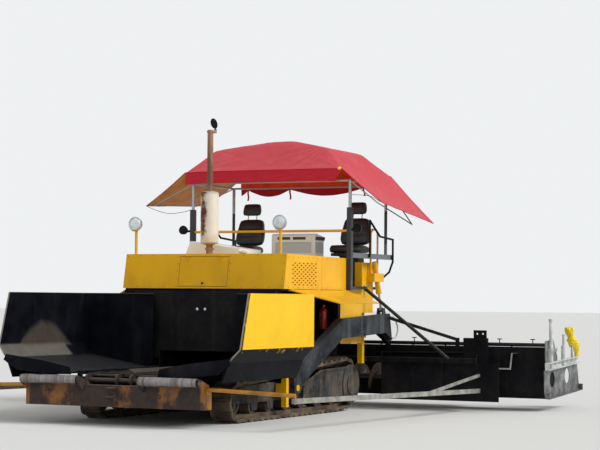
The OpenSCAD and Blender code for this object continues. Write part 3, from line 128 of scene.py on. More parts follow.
def operator(operation, swapped=False):
    """A method that adds one Math node; swapped puts the wire second, as in 1 - wire."""
    return lambda self, other=0.0: self.finish.node(
        "Math", {"operation": operation}, [other, self] if swapped else [self, other])


class Wire:
    """One output of a shader node; sums on it add Math nodes."""

    __add__, __radd__ = operator("ADD"), operator("ADD", True)
    __sub__, __rsub__ = operator("SUBTRACT"), operator("SUBTRACT", True)
    __mul__, __rmul__ = operator("MULTIPLY"), operator("MULTIPLY", True)
    __abs__ = operator("ABSOLUTE")
    sine = operator("SINE")

    def __init__(self, finish, socket):
        """Keeps the finish that the wire belongs to, and the node's output socket."""
        self.finish, self.socket = finish, socket


class Finish:
    """A material: node() adds any node, and the other methods name the patterns that the finishes share."""

    def __init__(self, name, rough=0.5, metal=0.0, coat=0.0, shine=0.5, ior=1.5):
        self.material = bpy.data.materials.new(name)
        self.material.use_nodes = True
        self.tree = self.material.node_tree
        self.shader = next(n for n in self.tree.nodes if n.type == "BSDF_PRINCIPLED")
        self.fix("Roughness", rough)
        self.fix("Metallic", metal)
        self.fix("Coat Weight", coat)
        self.fix("Specular IOR Level", shine)
        self.fix("IOR", ior)
        self.place = self.node("TexCoord", out="Object")
        self.x, self.y, self.z = self.split(self.place)

    def fix(self, socket, value):
        """Sets one of the shader's sockets to a constant."""
        self.shader.inputs[socket].default_value = value

    def node(self, kind, settings=(), values=(), out=0):
        """Adds a node: its settings come first, then the values or wires of its sockets."""
        made = self.tree.nodes.new("ShaderNode" + kind)
        for key, value in dict(settings).items():
            setattr(made, key, value)
        pairs = values.items() if isinstance(values, dict) else enumerate(values)
        for key, value in pairs:
            if isinstance(value, Wire):
                self.tree.links.new(value.socket, made.inputs[key])
            else:
                made.inputs[key].default_value = value
        return Wire(self, made.outputs[out])

    def split(self, wire):
        """The three parts of a vector."""
        first = self.node("SeparateXYZ", {}, [wire])
        return [Wire(self, socket) for socket in first.socket.node.outputs]

    def noise(self, scale, detail=4.0, stretch=(1, 1, 1), rough=0.55, shift=0.0):
        """Cloudy pattern from 0 to 1, about 0.5 in the middle; stretch scales each axis."""
        stretched = {"operation": "MULTIPLY_ADD"}
        spot = self.node("VectorMath", stretched, [self.place, stretch, (shift,) * 3])
        inputs = {"Vector": spot, "Scale": scale, "Detail": detail, "Roughness": rough}
        return self.node("TexNoise", {}, inputs)

    def cells(self, scale, stretch=(1, 1, 1)):
        """Distance to the nearest of many scattered points, for specks and chips."""
        spot = self.node("VectorMath", {"operation": "MULTIPLY"}, [self.place, stretch])
        return self.node("TexVoronoi", {}, {"Vector": spot, "Scale": scale})

    def ease(self, wire, low, high):
        """0 below low, 1 above high, smooth between; low may be the larger, and then it falls."""
        smooth = {"interpolation_type": "SMOOTHSTEP"}
        return self.node("MapRange", smooth, [wire, low, high, 0.0, 1.0])

    def normal(self, axis=2):
        """How far a face looks along an axis, -1 to 1; upwards where none is named."""
        return self.split(self.node("TexCoord", out="Normal"))[axis]

    def up(self, low, high):
        """How far a face looks upwards, eased between two levels."""
        return self.ease(self.normal(), low, high)

    def keep(self, wire):
        """The wire's value kept between 0 and 1."""
        return self.node("Clamp", {}, [wire, 0.0, 1.0])

    def clouds(self, low, high, *noise, **settings):
        """A noise eased between two levels: patches with soft edges."""
        return self.ease(self.noise(*noise, **settings), low, high)

    def mix(self, share, first, second):
        """Colour between first and second, each a wire or a colour code."""
        first, second = (colour if isinstance(colour, Wire) else tint(colour) for colour in (first, second))
        return self.node("Mix", {"data_type": "RGBA"}, {0: share, 6: first, 7: second}, out=2)

    def paint(self, colour):
        """The base colour, from a wire or a colour code."""
        if isinstance(colour, Wire):
            self.tree.links.new(colour.socket, self.shader.inputs["Base Color"])
        else:
            self.fix("Base Color", tint(colour))

    def feed(self, socket, wire):
        """Links a wire to one of the shader's sockets, kept between 0 and 1."""
        self.tree.links.new(self.keep(wire).socket, self.shader.inputs[socket])

    def bump(self, height, distance=0.004, strength=0.5):
        """Tilts the shading as if the surface rose by the height times the distance, in metres."""
        made = self.node("Bump", {}, {"Height": height, "Distance": distance, "Strength": strength})
        self.tree.links.new(made.socket, self.shader.inputs["Normal"])


DUST = "#8A7C68"
RUST = "#7A3E17"
DARK_RUST = "#3A2418"
print("dust in linear light:", [round(v, 3) for v in tint(DUST)[:3]])

# %% [markdown]
# ## Yellow paint
#
# The hood, the rear body, the towers and the wing panels wear one warm yellow. Hand-sprayed paint is never
# one flat colour: it varies a little in tone, it is dusty near its lower edges and on what lies flat, rain
# draws pale streaks down it, and rust comes up in specks where stones have hit it.

# %% Yellow paint
def yellow_paint(name, base, deep, grime=1.0, low=1.0, high=2.6):
    """Base paint toned by a slow noise; dust grows as z falls from high to low, and on upward faces."""
    f = Finish(name, rough=0.38, coat=0.06, shine=0.18)
    f.fix("Coat Roughness", 0.25)
    tone = f.noise(1.3, 3)
    colour = f.mix(f.ease(tone, 0.3, 0.7), base, deep)
    streaks = f.clouds(0.52, 0.78, 9, 4, (1, 1, 0.08))
    lowness = f.ease(f.z, high, low)
    dust = f.clouds(0.42, 0.75, 5, 6) * (0.25 + 0.75 * lowness) * (0.5 * grime)
    flat = f.up(0.6, 0.98) * (0.45 * grime)
    colour = f.mix(f.keep(dust + streaks * (0.16 * grime)), colour, "#96783C")
    colour = f.mix(flat * f.clouds(0.3, 0.7, 14, 5), colour, "#A98F58")
    chips = f.ease(f.cells(26), 0.11, 0.06) * f.clouds(0.52, 0.66, 3.1, 3)
    colour = f.mix(chips * grime, colour, RUST)
    f.paint(colour)
    f.feed("Roughness", 0.34 + dust * 0.5 + chips * 0.3 + (tone - 0.5) * 0.1)
    f.bump(f.noise(60, 3) * 0.15 + f.noise(2.2, 2) * 0.6 - chips * 0.4, 0.004, 0.25)
    return f


hood_paint = yellow_paint("hood yellow", "#F1B80E", "#E6AA0A", 0.4, 1.6, 2.1)
tower_paint = yellow_paint("tower yellow", "#F2BA0E", "#E4A80A", 0.7, 0.6, 2.2)
panel_paint = yellow_paint("panel yellow", "#FAC802", "#F2BE02", 0.25, 0.9, 1.4)
print("materials:", len(bpy.data.materials))

# %% [markdown]
# ## Black steel
#
# The hopper, the frame and the screed are black paint over plate. Asphalt and dust cling to them: the frame
# is dusty all over, the wings carry grey-brown dust inside, rubbed bright where the load slides, and pale
# streaks run down their outer skirts.

# %% Black steel
def black_steel(name, base="#141519", dust=0.22, streak=0.12, rust=0.1, rough=0.5, tone=DUST):
    """Black paint with dust clouds, streaks drawn down by rain and a few rusty scuffs."""
    f = Finish(name, rough=rough, shine=0.3, ior=1.18)
    cloud = f.noise(2.4, 6)
    fine = f.noise(17, 5)
    up = f.up(0.5, 0.95)
    amount = (f.ease(cloud, 0.38, 0.72) * 0.6 + f.ease(fine, 0.45, 0.8) * 0.4 + up * 0.7) * dust
    lines = f.clouds(0.5, 0.74, 7, 5, (1, 1, 0.05)) * streak
    scuff = f.clouds(0.6, 0.68, 4.5, 7, rough=0.7, shift=9.0) * rust
    colour = f.mix(f.clouds(0.3, 0.7, 3, 2), base, "#1A1B20")
    colour = f.mix(amount + lines, colour, tone)
    colour = f.mix(scuff, colour, RUST)
    f.paint(colour)
    f.feed("Roughness", rough + amount * 0.6 + scuff * 0.3 - lines * 0.2)
    f.bump(fine * 0.4 + cloud * 0.5, 0.005, 0.3)
    return f


frame_paint = black_steel("frame black", "#0E0F14", dust=0.07, streak=0.04, rust=0.08)
screed_paint = black_steel("screed black", "#0B0B0F", dust=0.05, streak=0.04, rust=0.1, rough=0.6)
rail_paint = black_steel("rail black", "#101113", dust=0.08, streak=0.04, rust=0.03, rough=0.4)
deck_paint = black_steel("deck plate", "#303236", dust=0.6, rust=0.25)
engine_paint = black_steel("engine grey", "#2A2A2A", dust=0.4, rust=0.4)


def wing_steel(name):
    """Hopper black. Inside, dust stands in a hump on the side plate and lies on the slope at its foot."""
    f = Finish(name, rough=0.45, shine=0.3, ior=1.14)
    out = abs(f.y)
    inside = f.ease(f.normal(1) * f.y, 0.0, -0.3)
    hump = (f.x - (1.72 + MID)) * (1 / 0.62)
    edge = f.z + hump * hump * 0.34 + (f.noise(5, 4) - 0.5) * 0.1
    plate = f.ease(edge, 1.27, 1.15) * f.ease(out, 1.64, 1.7)
    slope = f.ease(f.z, 0.965, 0.925) * f.ease(out, 1.52, 1.56) * f.ease(f.x, 1.24 + MID, 1.34 + MID)
    floor = f.ease(out, 1.56, 1.45) * f.up(0.5, 0.9) * 0.1
    dust = f.keep((plate * 0.85 + slope) * inside) * f.ease(f.y, 0.2, -0.2)
    haze = f.clouds(0.45, 0.8, 3.2, 6) * 0.03
    streaks = f.clouds(0.54, 0.8, 6, 5, (1, 1, 0.1), shift=3.0) * 0.06
    ahead = f.ease(f.normal(0), 0.8, 0.95) * f.ease(f.x, 1.4 + MID, 1.6 + MID)
    edges = f.ease(f.z, 1.59, 1.597) * 0.45 + ahead * f.ease(out, 1.55, 1.62) * 0.8
    colour = f.mix(f.clouds(0.3, 0.7, 4, 3), "#0C0D12", "#15171E")
    colour = f.mix(f.keep(floor + haze + streaks), colour, "#6C6A68")
    colour = f.mix(dust * (0.55 + f.noise(9, 5) * 0.5), colour, f.mix(plate, "#6A665F", "#5E5346"))
    outer = f.ease(f.normal(1) * f.ease(f.y, 1.3, 1.4), 0.3, 0.6)
    left = outer * f.clouds(0.56, 0.6, 10, 6, (1, 1, 0.6), shift=1.0)
    worn = left * (f.ease(f.z, 0.86, 0.93) + f.ease(f.z, 0.66, 0.6) * f.ease(f.x, 2.25 + MID, 2.4 + MID))
    colour = f.mix(f.keep(worn), colour, "#C79A28")
    f.paint(f.mix(f.keep(edges), colour, "#A59E94"))
    f.feed("Roughness", 0.36 + dust * 0.45 + haze * 1.5)
    f.bump(f.noise(24, 5) * 0.5 + f.noise(2.5, 3) + dust * 0.4, 0.005, 0.3)
    return f


hopper_paint = wing_steel("hopper black")
print("materials:", len(bpy.data.materials))

# %% [markdown]
# ## Rubber, worn steel, rust and galvanised plate
#
# Each of these has a mark of its own: rollers are rubbed in rings, the push beam is rust with islands of old
# paint, the track is earth-coloured, and zinc shows grey clouds.

# %% Rubber and bare metals
def lip_rubber():
    """Black rubber, greyed by dust in clouds and on faces that look up."""
    f = Finish("lip rubber", rough=0.55, shine=0.3, ior=1.16)
    dusty = f.clouds(0.42, 0.72, 3, 6) * 0.14 + f.up(0.3, 0.9) * 0.1
    f.paint(f.mix(dusty, "#101218", "#5C5C60"))
    f.feed("Roughness", 0.45 + dusty)
    f.bump(f.noise(40, 4) * 0.4 + f.noise(5, 2), 0.004, 0.35)
    return f


def roller_steel():
    """Bright steel rubbed in rings along Y, with brown film between them."""
    f = Finish("roller steel", rough=0.35, metal=0.9)
    rings = f.noise(30, 4, (0.05, 1, 0.05))
    film = f.clouds(0.4, 0.7, 7, 5)
    colour = f.mix(f.ease(rings, 0.3, 0.8), "#9C9694", "#645C5A")
    colour = f.mix(film * 0.35, colour, "#4A3A32")
    f.paint(colour)
    f.feed("Roughness", 0.28 + film * 0.3)
    f.feed("Metallic", 0.95 - film * 0.45)
    f.bump(rings + film * 0.4, 0.002, 0.4)
    return f


def beam_rust():
    """Dark brown rust with islands of old orange-yellow paint that thin out in ragged edges."""
    f = Finish("push beam", rough=0.6)
    grain = f.noise(11, 8, rough=0.65)
    islands = f.clouds(0.5, 0.6, 2.3, 7, (0.6, 1.0, 0.7), rough=0.6, shift=4.3)
    side = f.ease(abs(f.y), 1.18, 1.215)
    left = islands * 0.8 + side * f.clouds(0.4, 0.52, 6, 5)
    colour = f.mix(f.ease(grain, 0.3, 0.7), "#221B1A", "#3E2A1F")
    colour = f.mix(f.keep(left), colour, f.mix(f.clouds(0.35, 0.7, 5, 5), "#9C6210", "#74461A"))
    colour = f.mix(f.clouds(0.5, 0.75, 3.5, 5, shift=8.0) * 0.5, colour, "#1E1B1C")
    f.paint(colour)
    f.feed("Roughness", 0.75 - left * 0.25)
    f.bump(grain + left * 0.5, 0.006, 0.5)
    return f


def earthy(name, base, pale, dust=0.6, rough=0.7):
    """Steel caked in dry earth: the pale tone sits in clouds and on faces that look up."""
    f = Finish(name, rough=rough, metal=0.0)
    grain = f.noise(13, 8, rough=0.65)
    cake = f.clouds(0.36, 0.66, 4.2, 6) * dust + f.up(0.3, 0.9) * 0.3
    colour = f.mix(f.ease(grain, 0.3, 0.7), base, DARK_RUST)
    colour = f.mix(cake, colour, pale)
    f.paint(colour)
    f.feed("Roughness", rough + cake * 0.2)
    f.bump(grain + f.noise(40, 3) * 0.4, 0.008, 0.55)
    return f


def zinc(name, base="#8C8E8E", dark="#55585A", dirt=0.5, metal=0.35):
    """Galvanised plate: soft grey clouds, brown dirt towards the ground and in streaks."""
    f = Finish(name, rough=0.5, metal=metal)
    cloud = f.noise(9, 5)
    mud = f.ease(f.z, 0.75, 0.2) * f.clouds(0.35, 0.65, 6, 6) * dirt
    lines = f.clouds(0.52, 0.75, 11, 4, (1, 1, 0.07)) * 0.3
    colour = f.mix(f.ease(cloud, 0.3, 0.7), base, dark)
    colour = f.mix(mud + lines * dirt, colour, "#4A4038")
    f.paint(colour)
    f.feed("Roughness", 0.42 + mud * 0.4 + cloud * 0.1)
    f.bump(cloud, 0.003, 0.3)
    return f


rubber = lip_rubber()
rolled = roller_steel()
beam_finish = beam_rust()
track_finish = earthy("track earth", "#3A322A", "#7D6D55", 0.75)
wheel_finish = earthy("wheel earth", "#241F1B", "#6B5C49", 0.5)
conveyor_finish = earthy("conveyor steel", "#17171A", "#3C3830", 0.25, 0.5)
auger_finish = earthy("auger steel", "#1B1815", "#4A4238", 0.35, 0.5)
guard_finish = black_steel("guard grey", "#3A3D40", dust=0.55, streak=0.2, rust=0.15, rough=0.55)
arm_finish = black_steel("arm grey", "#2E3136", dust=0.35, streak=0.3, rust=0.3, rough=0.45, tone="#858A8C")
gate_finish = zinc("gate zinc")
gear_finish = zinc("gear white", "#E2E4E1", "#A8ABA8", 0.3, 0.05)
rod_finish = zinc("rod chrome", "#B9BCBE", "#9EA2A4", 0.0, 0.9)
print("materials:", len(bpy.data.materials))

# %% [markdown]
# ## Finishes that change with height
#
# Some solids wear two finishes. The lamps' posts are yellow and their bowls chromed; the roof's posts are
# dark box section below and bright tube above; the muffler is off-white with a burnt, rusty side. A mask on
# the Object coordinates, which hold the real place in metres, tells the parts apart.

# %% Two-part finishes
def lamp_chrome():
    """Chrome above 2.44 m and on the small wall lights, yellow post below."""
    f = Finish("lamp chrome", rough=0.12)
    bowl = f.ease(f.z, 2.438, 2.444) + f.ease(f.z, 1.6, 1.5)
    colour = f.mix(bowl, "#E8AE1E", "#C9CDD0")
    f.paint(f.mix(f.clouds(0.5, 0.75, 20, 5) * 0.3, colour, "#7F776A"))
    f.feed("Metallic", bowl)
    f.feed("Roughness", 0.36 - bowl * 0.2 + f.noise(15, 4) * 0.08)
    return f


def roof_posts():
    """Dark slate box section up to 2.8 m, bright tube above, and a grey rail."""
    f = Finish("roof posts", rough=0.42)
    tube = f.ease(f.z, 2.798, 2.802)
    rail = f.ease(f.x, -0.6, -0.64) * f.ease(f.z, 2.35, 2.3)
    colour = f.mix(tube, "#23282E", "#A7B0B6")
    colour = f.mix(rail, colour, "#5F676C")
    scrape = f.clouds(0.58, 0.7, 12, 7, (1, 1, 0.3)) * 0.4
    f.paint(f.mix(scrape, colour, "#8B8A84"))
    f.feed("Metallic", tube * 0.7)
    f.feed("Roughness", 0.4 + scrape * 0.3)
    f.bump(f.noise(30, 4), 0.002, 0.3)
    return f


PIPE_AT = (-0.2 + MID, -0.34)


def exhaust_finish():
    """Off-white muffler, burnt brown where it faces forward and right; pipe and neck are all rust."""
    f = Finish("exhaust", rough=0.5)
    side = ((f.x - PIPE_AT[0]) * 0.914 + (f.y - PIPE_AT[1]) * -0.405) * (1 / 0.122)
    ragged = (f.noise(5, 6) - 0.5) * 0.75 + (f.noise(23, 5) - 0.5) * 0.35
    burnt = f.ease(side + ragged, 0.8, 1.02) * f.ease(f.z, 2.29, 2.42)
    ends = f.ease(f.z + ragged * 0.06, 2.93, 2.99) * 0.7 + f.ease(f.z + ragged * 0.05, 2.31, 2.25) * 0.6
    bare = f.ease(f.z, 2.988, 2.992) + f.ease(f.z, 2.262, 2.258)
    rust = f.mix(f.clouds(0.35, 0.65, 9, 6), "#6B3A1B", "#3B2317")
    pipe = f.mix(f.clouds(0.35, 0.65, 7, 5, (1, 1, 0.25)), "#A27C60", "#6C4A36")
    white = f.mix(f.clouds(0.35, 0.7, 3, 4), "#E6E1D4", "#CBC0AC")
    colour = f.mix(f.keep(burnt + ends), white, rust)
    f.paint(f.mix(f.keep(bare), colour, pipe))
    f.feed("Roughness", 0.45 + burnt * 0.35 + bare * 0.25)
    f.bump(f.noise(26, 6) * 0.6 + burnt * 0.4, 0.004, 0.45)
    return f


def console_finish():
    """Light grey casing; what lies behind its face, the slots and the sunk panel, is darker: painted shade in
    these recesses.
    """
    f = Finish("console", rough=0.4)
    behind = f.ease(f.x, -1.451 + MID, -1.455 + MID)
    slots = behind * f.ease(f.z, 2.355, 2.362) * f.ease(f.z, 2.412, 2.406)
    sunk = behind * f.ease(f.z, 2.175, 2.182) * f.ease(f.z, 2.335, 2.328)
    # Painted shade: the darker greys of the slots and the sunk panel stand for the shade inside these
    # recesses of the solid.
    f.paint(f.mix(slots, f.mix(sunk, f.mix(f.noise(6, 4), "#ECF2F2", "#DEE4E4"), "#BEC8CC"),
                  "#33373B"))
    f.bump(f.noise(70, 3), 0.001, 0.2)
    return f


def two_tone(name, axis, change, first, first_dark, second, second_dark, top=9.0):
    """One tone up to a place on an axis and another beyond it; above top the first comes back."""
    f = Finish(name, rough=0.5, shine=0.25)
    along = getattr(f, axis)
    beyond = f.ease(along, change, change + 0.006) * f.ease(f.z, top + 0.006, top)
    cloud = f.clouds(0.3, 0.7, 9, 5)
    colour = f.mix(beyond, f.mix(cloud, first, first_dark), f.mix(cloud, second, second_dark))
    dirt = f.clouds(0.52, 0.74, 14, 6, (1, 0.4, 1)) * 0.35
    f.paint(f.mix(dirt, colour, "#4A4038"))
    f.feed("Roughness", 0.42 + dirt * 0.6)
    f.bump(cloud + f.noise(50, 3) * 0.3, 0.003, 0.3)
    return f


def smooth_paint(name, base, dirt="#8A8478", amount=0.3, rough=0.35):
    """Plain coat with a little dirt in soft clouds and on what lies flat."""
    f = Finish(name, rough=rough, coat=0.15)
    cloud = f.clouds(0.42, 0.75, 5, 6) * amount + f.up(0.7, 1.0) * (amount * 0.5)
    f.paint(f.mix(cloud, base, dirt))
    f.feed("Roughness", rough + cloud * 0.5)
    f.bump(f.noise(45, 4), 0.002, 0.2)
    return f


lamp_finish = lamp_chrome()
lamp_steel = zinc("bright steel", "#B9BCBE", "#8E9294", 0.1, 0.8)
posts_finish = roof_posts()
muffler_finish = exhaust_finish()
console_paint = console_finish()
box_white = smooth_paint("box white", "#EFF6F9", "#C4C2BC", 0.15)
cap_white = smooth_paint("cap white", "#C9C3B2", "#7A5A3A", 0.6)
fire_red = smooth_paint("extinguisher red", "#B8140F", amount=0.15, rough=0.25)
tube_orange = smooth_paint("tube orange", "#B87A10", "#5A3A18", 0.6, 0.45)
plastic_yellow = smooth_paint("cap yellow", "#F2D20E", amount=0.1)
braces_finish = two_tone("braces", "z", 0.655, "#A3A39B", "#7C7C75", "#141417", "#1E1C1B")
rails_finish = two_tone("screed rails", "y", 2.66, "#0B0B0E", "#17161A", "#C9CBC8", "#A9AAA6", top=0.8)
print("materials:", len(bpy.data.materials))

# %% [markdown]
# ## Which solid wears what
#
# A solid's finish goes into the slot that its mesh already has. The table keeps to the machine's layout, from
# the frame up and from front to back.

# %% Dress the solids
WORN_BY = {
    frame_paint: "main_frame body_frame auger_frame auger_ends auger_case",
    beam_finish: "push_beam",
    conveyor_finish: "conveyor",
    engine_paint: "engine_block",
    fire_red: "extinguisher",
    hood_paint: "hood_shell hood_hatch side_flap_left side_flap_right",
    box_white: "roof_box",
    cap_white: "filler_cap",
    tower_paint: "rear_body front_rail lift_towers tow_brackets",
    deck_paint: "platform walkway seat_bases",
    console_paint: "console",
    posts_finish: "canopy_posts canopy_frame",
    rail_paint: "side_rails work_lamps rain_cap",
    lamp_finish: "lamps",
    muffler_finish: "exhaust",
    track_finish: "track_left track_right",
    wheel_finish: "track_wheels",
    guard_finish: "track_frames track_guards",
    braces_finish: "braces",
    tube_orange: "cross_tube",
    hopper_paint: "wing_left wing_right",
    panel_paint: "wing_panel_left wing_panel_right",
    rubber: "wing_lip_left wing_lip_right",
    rolled: "push_roller_left push_roller_right",
    arm_finish: "tow_arms",
    screed_paint: "screed_body screed_brackets",
    rails_finish: "screed_rails",
    gate_finish: "end_gates",
    gear_finish: "gate_gear",
    rod_finish: "lift_rod_left lift_rod_right",
    auger_finish: "auger_left auger_right",
}


def dress(node, finish):
    """Puts the finish into every slot of a solid's mesh."""
    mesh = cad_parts[node].data
    for place in range(max(1, len(mesh.materials))):
        if len(mesh.materials) <= place:
            mesh.materials.append(finish.material)
        mesh.materials[place] = finish.material


for finish, names in WORN_BY.items():
    for node in names.split():
        dress(node, finish)
print("finishes worn by solids:", len(WORN_BY))

# %% [markdown]
# ## Surfaces from arrays
#
# A new piece is a function of two parameters worked out on a whole grid at once. One helper turns any grid of
# points into a mesh, closes it where asked, and gives it a map in metres for its weave.

# %% From grid to mesh
def steps(line):
    """Length of each step from one point of a line to the next."""
    return np.linalg.norm(np.diff(line, axis=0), axis=1)


def distances(line):
    """Distance of each point from the line's start, measured along it."""
    return np.r_[0, np.cumsum(steps(line))]


def grid_piece(name, points, finish, closed=False, smooth=True, under=None, thick=None):
    """Mesh from rows x columns x 3 points, or a stack of such grids, with a map in metres.

    It faces whoever sees the rows run up and the columns run right.
    """
    stack = points if points.ndim == 4 else points[None]
    count, rows, columns = stack.shape[:3]
    index = np.arange(count * rows * columns).reshape(count, rows, columns)
    here, up = index[:, :-1], index[:, 1:]
    if closed:
        quads = np.stack([here, np.roll(here, -1, 2), np.roll(up, -1, 2), up], -1)
    else:
        quads = np.stack([here[:, :, :-1], here[:, :, 1:], up[:, :, 1:], up[:, :, :-1]], -1)
    mesh = bpy.data.meshes.new(name)
    mesh.from_pydata(stack.reshape(-1, 3).tolist(), [], quads.reshape(-1, 4).tolist())
    mesh.validate()
    mesh.polygons.foreach_set("use_smooth", np.full(len(mesh.polygons), smooth))
    across = distances(stack[0].mean(0))
    along = distances(stack[0].mean(1))
    corners = np.zeros(len(mesh.loops), int)
    mesh.loops.foreach_get("vertex_index", corners)
    layer = mesh.uv_layers.new(name="map")
    layer.data.foreach_set("uv", np.c_[across[corners % columns], along[corners // columns % rows]].ravel())
    piece = bpy.data.objects.new(name, mesh)
    scene.collection.objects.link(piece)
    mesh.materials.append(finish.material)
    if under is not None:
        mesh.materials.append(under.material)
    if thick is not None:
        shell = piece.modifiers.new("thickness", "SOLIDIFY")
        shell.thickness = thick
        shell.offset = -1
        if under is not None:
            shell.material_offset = 1
            shell.material_offset_rim = 0
    return piece


def circle(sides):
    """Angles of the sides of a ring, from 0 to just under a full turn."""
    return np.linspace(0, 2 * math.pi, sides + 1)[:-1]


def tube_points(path, radius, sides=12):
    """Rings round a path, each turned as little as can be from the last, closed by a point at both ends."""
    path = np.asarray(path, float)
    ahead = np.gradient(path, axis=0)
    ahead /= np.linalg.norm(ahead, axis=1)[:, None]
    side = np.cross([0.3, 0.2, 0.9], ahead[0])
    sides_of = []
    for direction in ahead:
        side = unit(side - direction * (side @ direction))
        sides_of.append(side)
    sides_of = np.array(sides_of)
    turn = circle(sides)[:, None]
    spokes = np.cos(turn) * sides_of[:, None] + np.sin(turn) * np.cross(ahead, sides_of)[:, None]
    rings = path[:, None] + spokes * (np.zeros(len(path)) + radius)[:, None, None]
    ends = [np.repeat(path[k][None, None], sides, 1) for k in (0, -1)]
    return np.concatenate([ends[0], rings, ends[1]])


def smooth_path(points, count=24):
    """Catmull-Rom curve through the points: each span's middle leans on the two points beyond it."""
    p = np.asarray(points, float)
    p = np.vstack([2 * p[0] - p[1], p, 2 * p[-1] - p[-2]])
    place = np.linspace(0, len(p) - 3 - 1e-9, count)
    k, t = place.astype(int), (place % 1)[:, None]
    a, b, c, d = p[k], p[k + 1], p[k + 2], p[k + 3]
    return b + 0.5 * t * (c - a + t * (2 * a - 5 * b + 4 * c - d + t * (3 * (b - c) + d - a)))


def domes(name, spots, facing, radius, height, finish, sides=12):
    """Low round heads that all look one way: a profile of radius against height, swept round each spot."""
    axis = unit(facing)
    first = unit(np.cross(axis, [0.31, 0.17, 0.93]))
    second = np.cross(axis, first)
    turn = circle(sides)[:, None]
    ring = np.cos(turn) * first + np.sin(turn) * second
    profile = np.array([[1.0, -0.3], [1.0, 0.35], [0.86, 0.72], [0.5, 0.95], [0.0, 1.0]])
    shape = profile[:, 0, None, None] * radius * ring + (profile[:, 1] * height)[:, None, None] * axis
    return grid_piece(name, np.asarray(spots, float)[:, None, None] + shape, finish, closed=True)


def on_body(piece, slot, body="tractor"):
    """A finished piece rides on a body; the slot is not used."""
    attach(piece, body)
    return piece


def ripples(across, along, seed, count=14, longest=0.6, shortest=0.09):
    """Sum of plane waves, each as high as it is long; their headings vary round the first axis."""
    rng = np.random.default_rng(seed)
    length = shortest * (longest / shortest) ** rng.random(count)
    turn = rng.normal(0, 0.45, count)
    start = rng.random(count) * 2 * math.pi
    wave = 2 * math.pi / length
    flow = across[..., None] * np.cos(turn) + along[..., None] * np.sin(turn)
    return (np.sin(flow * wave + start) * length).sum(-1) / length.sum() * 1.6

print("steps round a bend:", steps(smooth_path([(0, 0, 0), (1, 0, 0), (1, 1, 0)], 5)).round(3))

# %% [markdown]
# ## The cloth roof
#
# A red tarpaulin is stretched over two bows and tied at its corners. It is one sheet: a lopsided hipped
# roof whose long sides run on past the eaves as awnings. The roof's facets are the planes that pass over all
# of its corners, found by trying every three of them. A soft minimum of the planes rounds the hips, and the
# cloth then sags between the bows, fans out in creases from its corners and ripples along the awnings. A
# brighter finish on its underside stands for the light that comes through.

# %% Cloth finishes
# Threads of the weave, in radians for each metre of the cloth's map
THREADS = 1800.0
CLOTH_THICK, RIBBON_THICK, BAG_THICK = 0.003, 0.0015, 0.0008
HEM_RADIUS = 0.006
# Strength of the light that comes through to an underside
GLOW = 0.16


def cloth(name, base, faded, pale, shade=0.5):
    """Woven tarpaulin on the piece's own map: sun-faded clouds, fine weave and small creases in the bump."""
    f = Finish(name, rough=0.6, shine=0.25)
    u, v, _ = f.split(f.node("UVMap", {"uv_map": "map"}))
    weave = (u * THREADS).sine() * (v * THREADS).sine()
    cloud = f.noise(1.6, 5)
    crease = f.noise(7, 6, (1.0, 0.6, 0.6), rough=0.6)
    colour = f.mix(f.ease(cloud, 0.35, 0.7) * shade, base, faded)
    colour = f.mix(f.ease(crease, 0.5, 0.8) * 0.28, colour, pale)
    f.paint(colour)
    f.feed("Roughness", 0.55 + cloud * 0.2)
    f.bump(weave * 0.05 + crease * 0.9, 0.008, 0.4)
    f.fix("Sheen Weight", 0.15)
    return f


canopy_red = cloth("canopy red", "#BE2433", "#CC3A46", "#DA6A70")
# Painted shade: the valances and the hem wear a deeper, darker red copy of the roof's cloth, for the strips
# that hang in shade.
cloth_red_painted_shade = cloth("cloth red painted shade", "#C0142C", "#CA2036", "#D63C4C", 0.4)


def lit_through(name, near, far, change):
    """Underside of the cloth, which glows a little with sunlight, in two tones split by change(f)."""
    f = cloth(name, near, near, far, 0.0)
    glow = f.mix(change(f), near, far)
    shade = f.mix(f.clouds(0.35, 0.75, 5, 6) * 0.45, glow, "#7A2A14")
    f.paint(shade)
    f.tree.links.new(shade.socket, f.shader.inputs["Emission Color"])
    f.fix("Emission Strength", GLOW)
    return f


canopy_under = lit_through("canopy underside", "#D8380E", "#C8801E",
                           lambda f: f.ease(abs(f.y + 0.1), 1.2, 1.3))
valance_under = lit_through("valance underside", "#9C0E1E", "#E0400E", lambda f: f.ease(f.z, 3.165, 3.185))
ribbon_red = cloth("ribbon red", "#C41018", "#D03038", "#D84850")
print("materials:", len(bpy.data.materials))

# %% The roof's form
EAVE = 3.34
X_REAR, X_FRONT = -2.95 + MID, -1.27 + MID
Y_RIGHT, Y_LEFT = -1.325, 1.125
BOWS = (-2.45 + MID, -1.85 + MID)


def level_rectangle(x_low, x_high, y_low, y_high, rise):
    """The four corners of a rectangle, all at one rise over the eaves."""
    return [(x, y, rise) for x in (x_low, x_high) for y in (y_low, y_high)]


corners = np.array(
    level_rectangle(X_REAR, X_FRONT, Y_RIGHT, Y_LEFT, 0.0)
    + [(BOWS[1] + 0.02, -1.15, 0.35), (BOWS[1] + 0.02, 0.62, 0.35)]
    + [(BOWS[0] - 0.02, -1.0, 0.28), (BOWS[0] - 0.02, 0.9, 0.28)]
    + level_rectangle(-2.39 + MID, -1.95 + MID, -0.26, 0.06, 0.47)
)


def facets(corners):
    """Planes z = a x + b y + c with every corner on or under them."""
    found = []
    for a, b, c in itertools.combinations(corners, 3):
        normal = np.cross(b - a, c - a)
        if abs(normal[2]) > 1e-9:
            slope = -normal[:2] / normal[2]
            offset = a[2] - slope @ a[:2]
            if (corners[:, 2] - corners[:, :2] @ slope - offset).max() < 1e-6:
                found.append((*slope, offset))
    return np.unique(np.round(found, 6), axis=0)


PLANES = facets(corners)


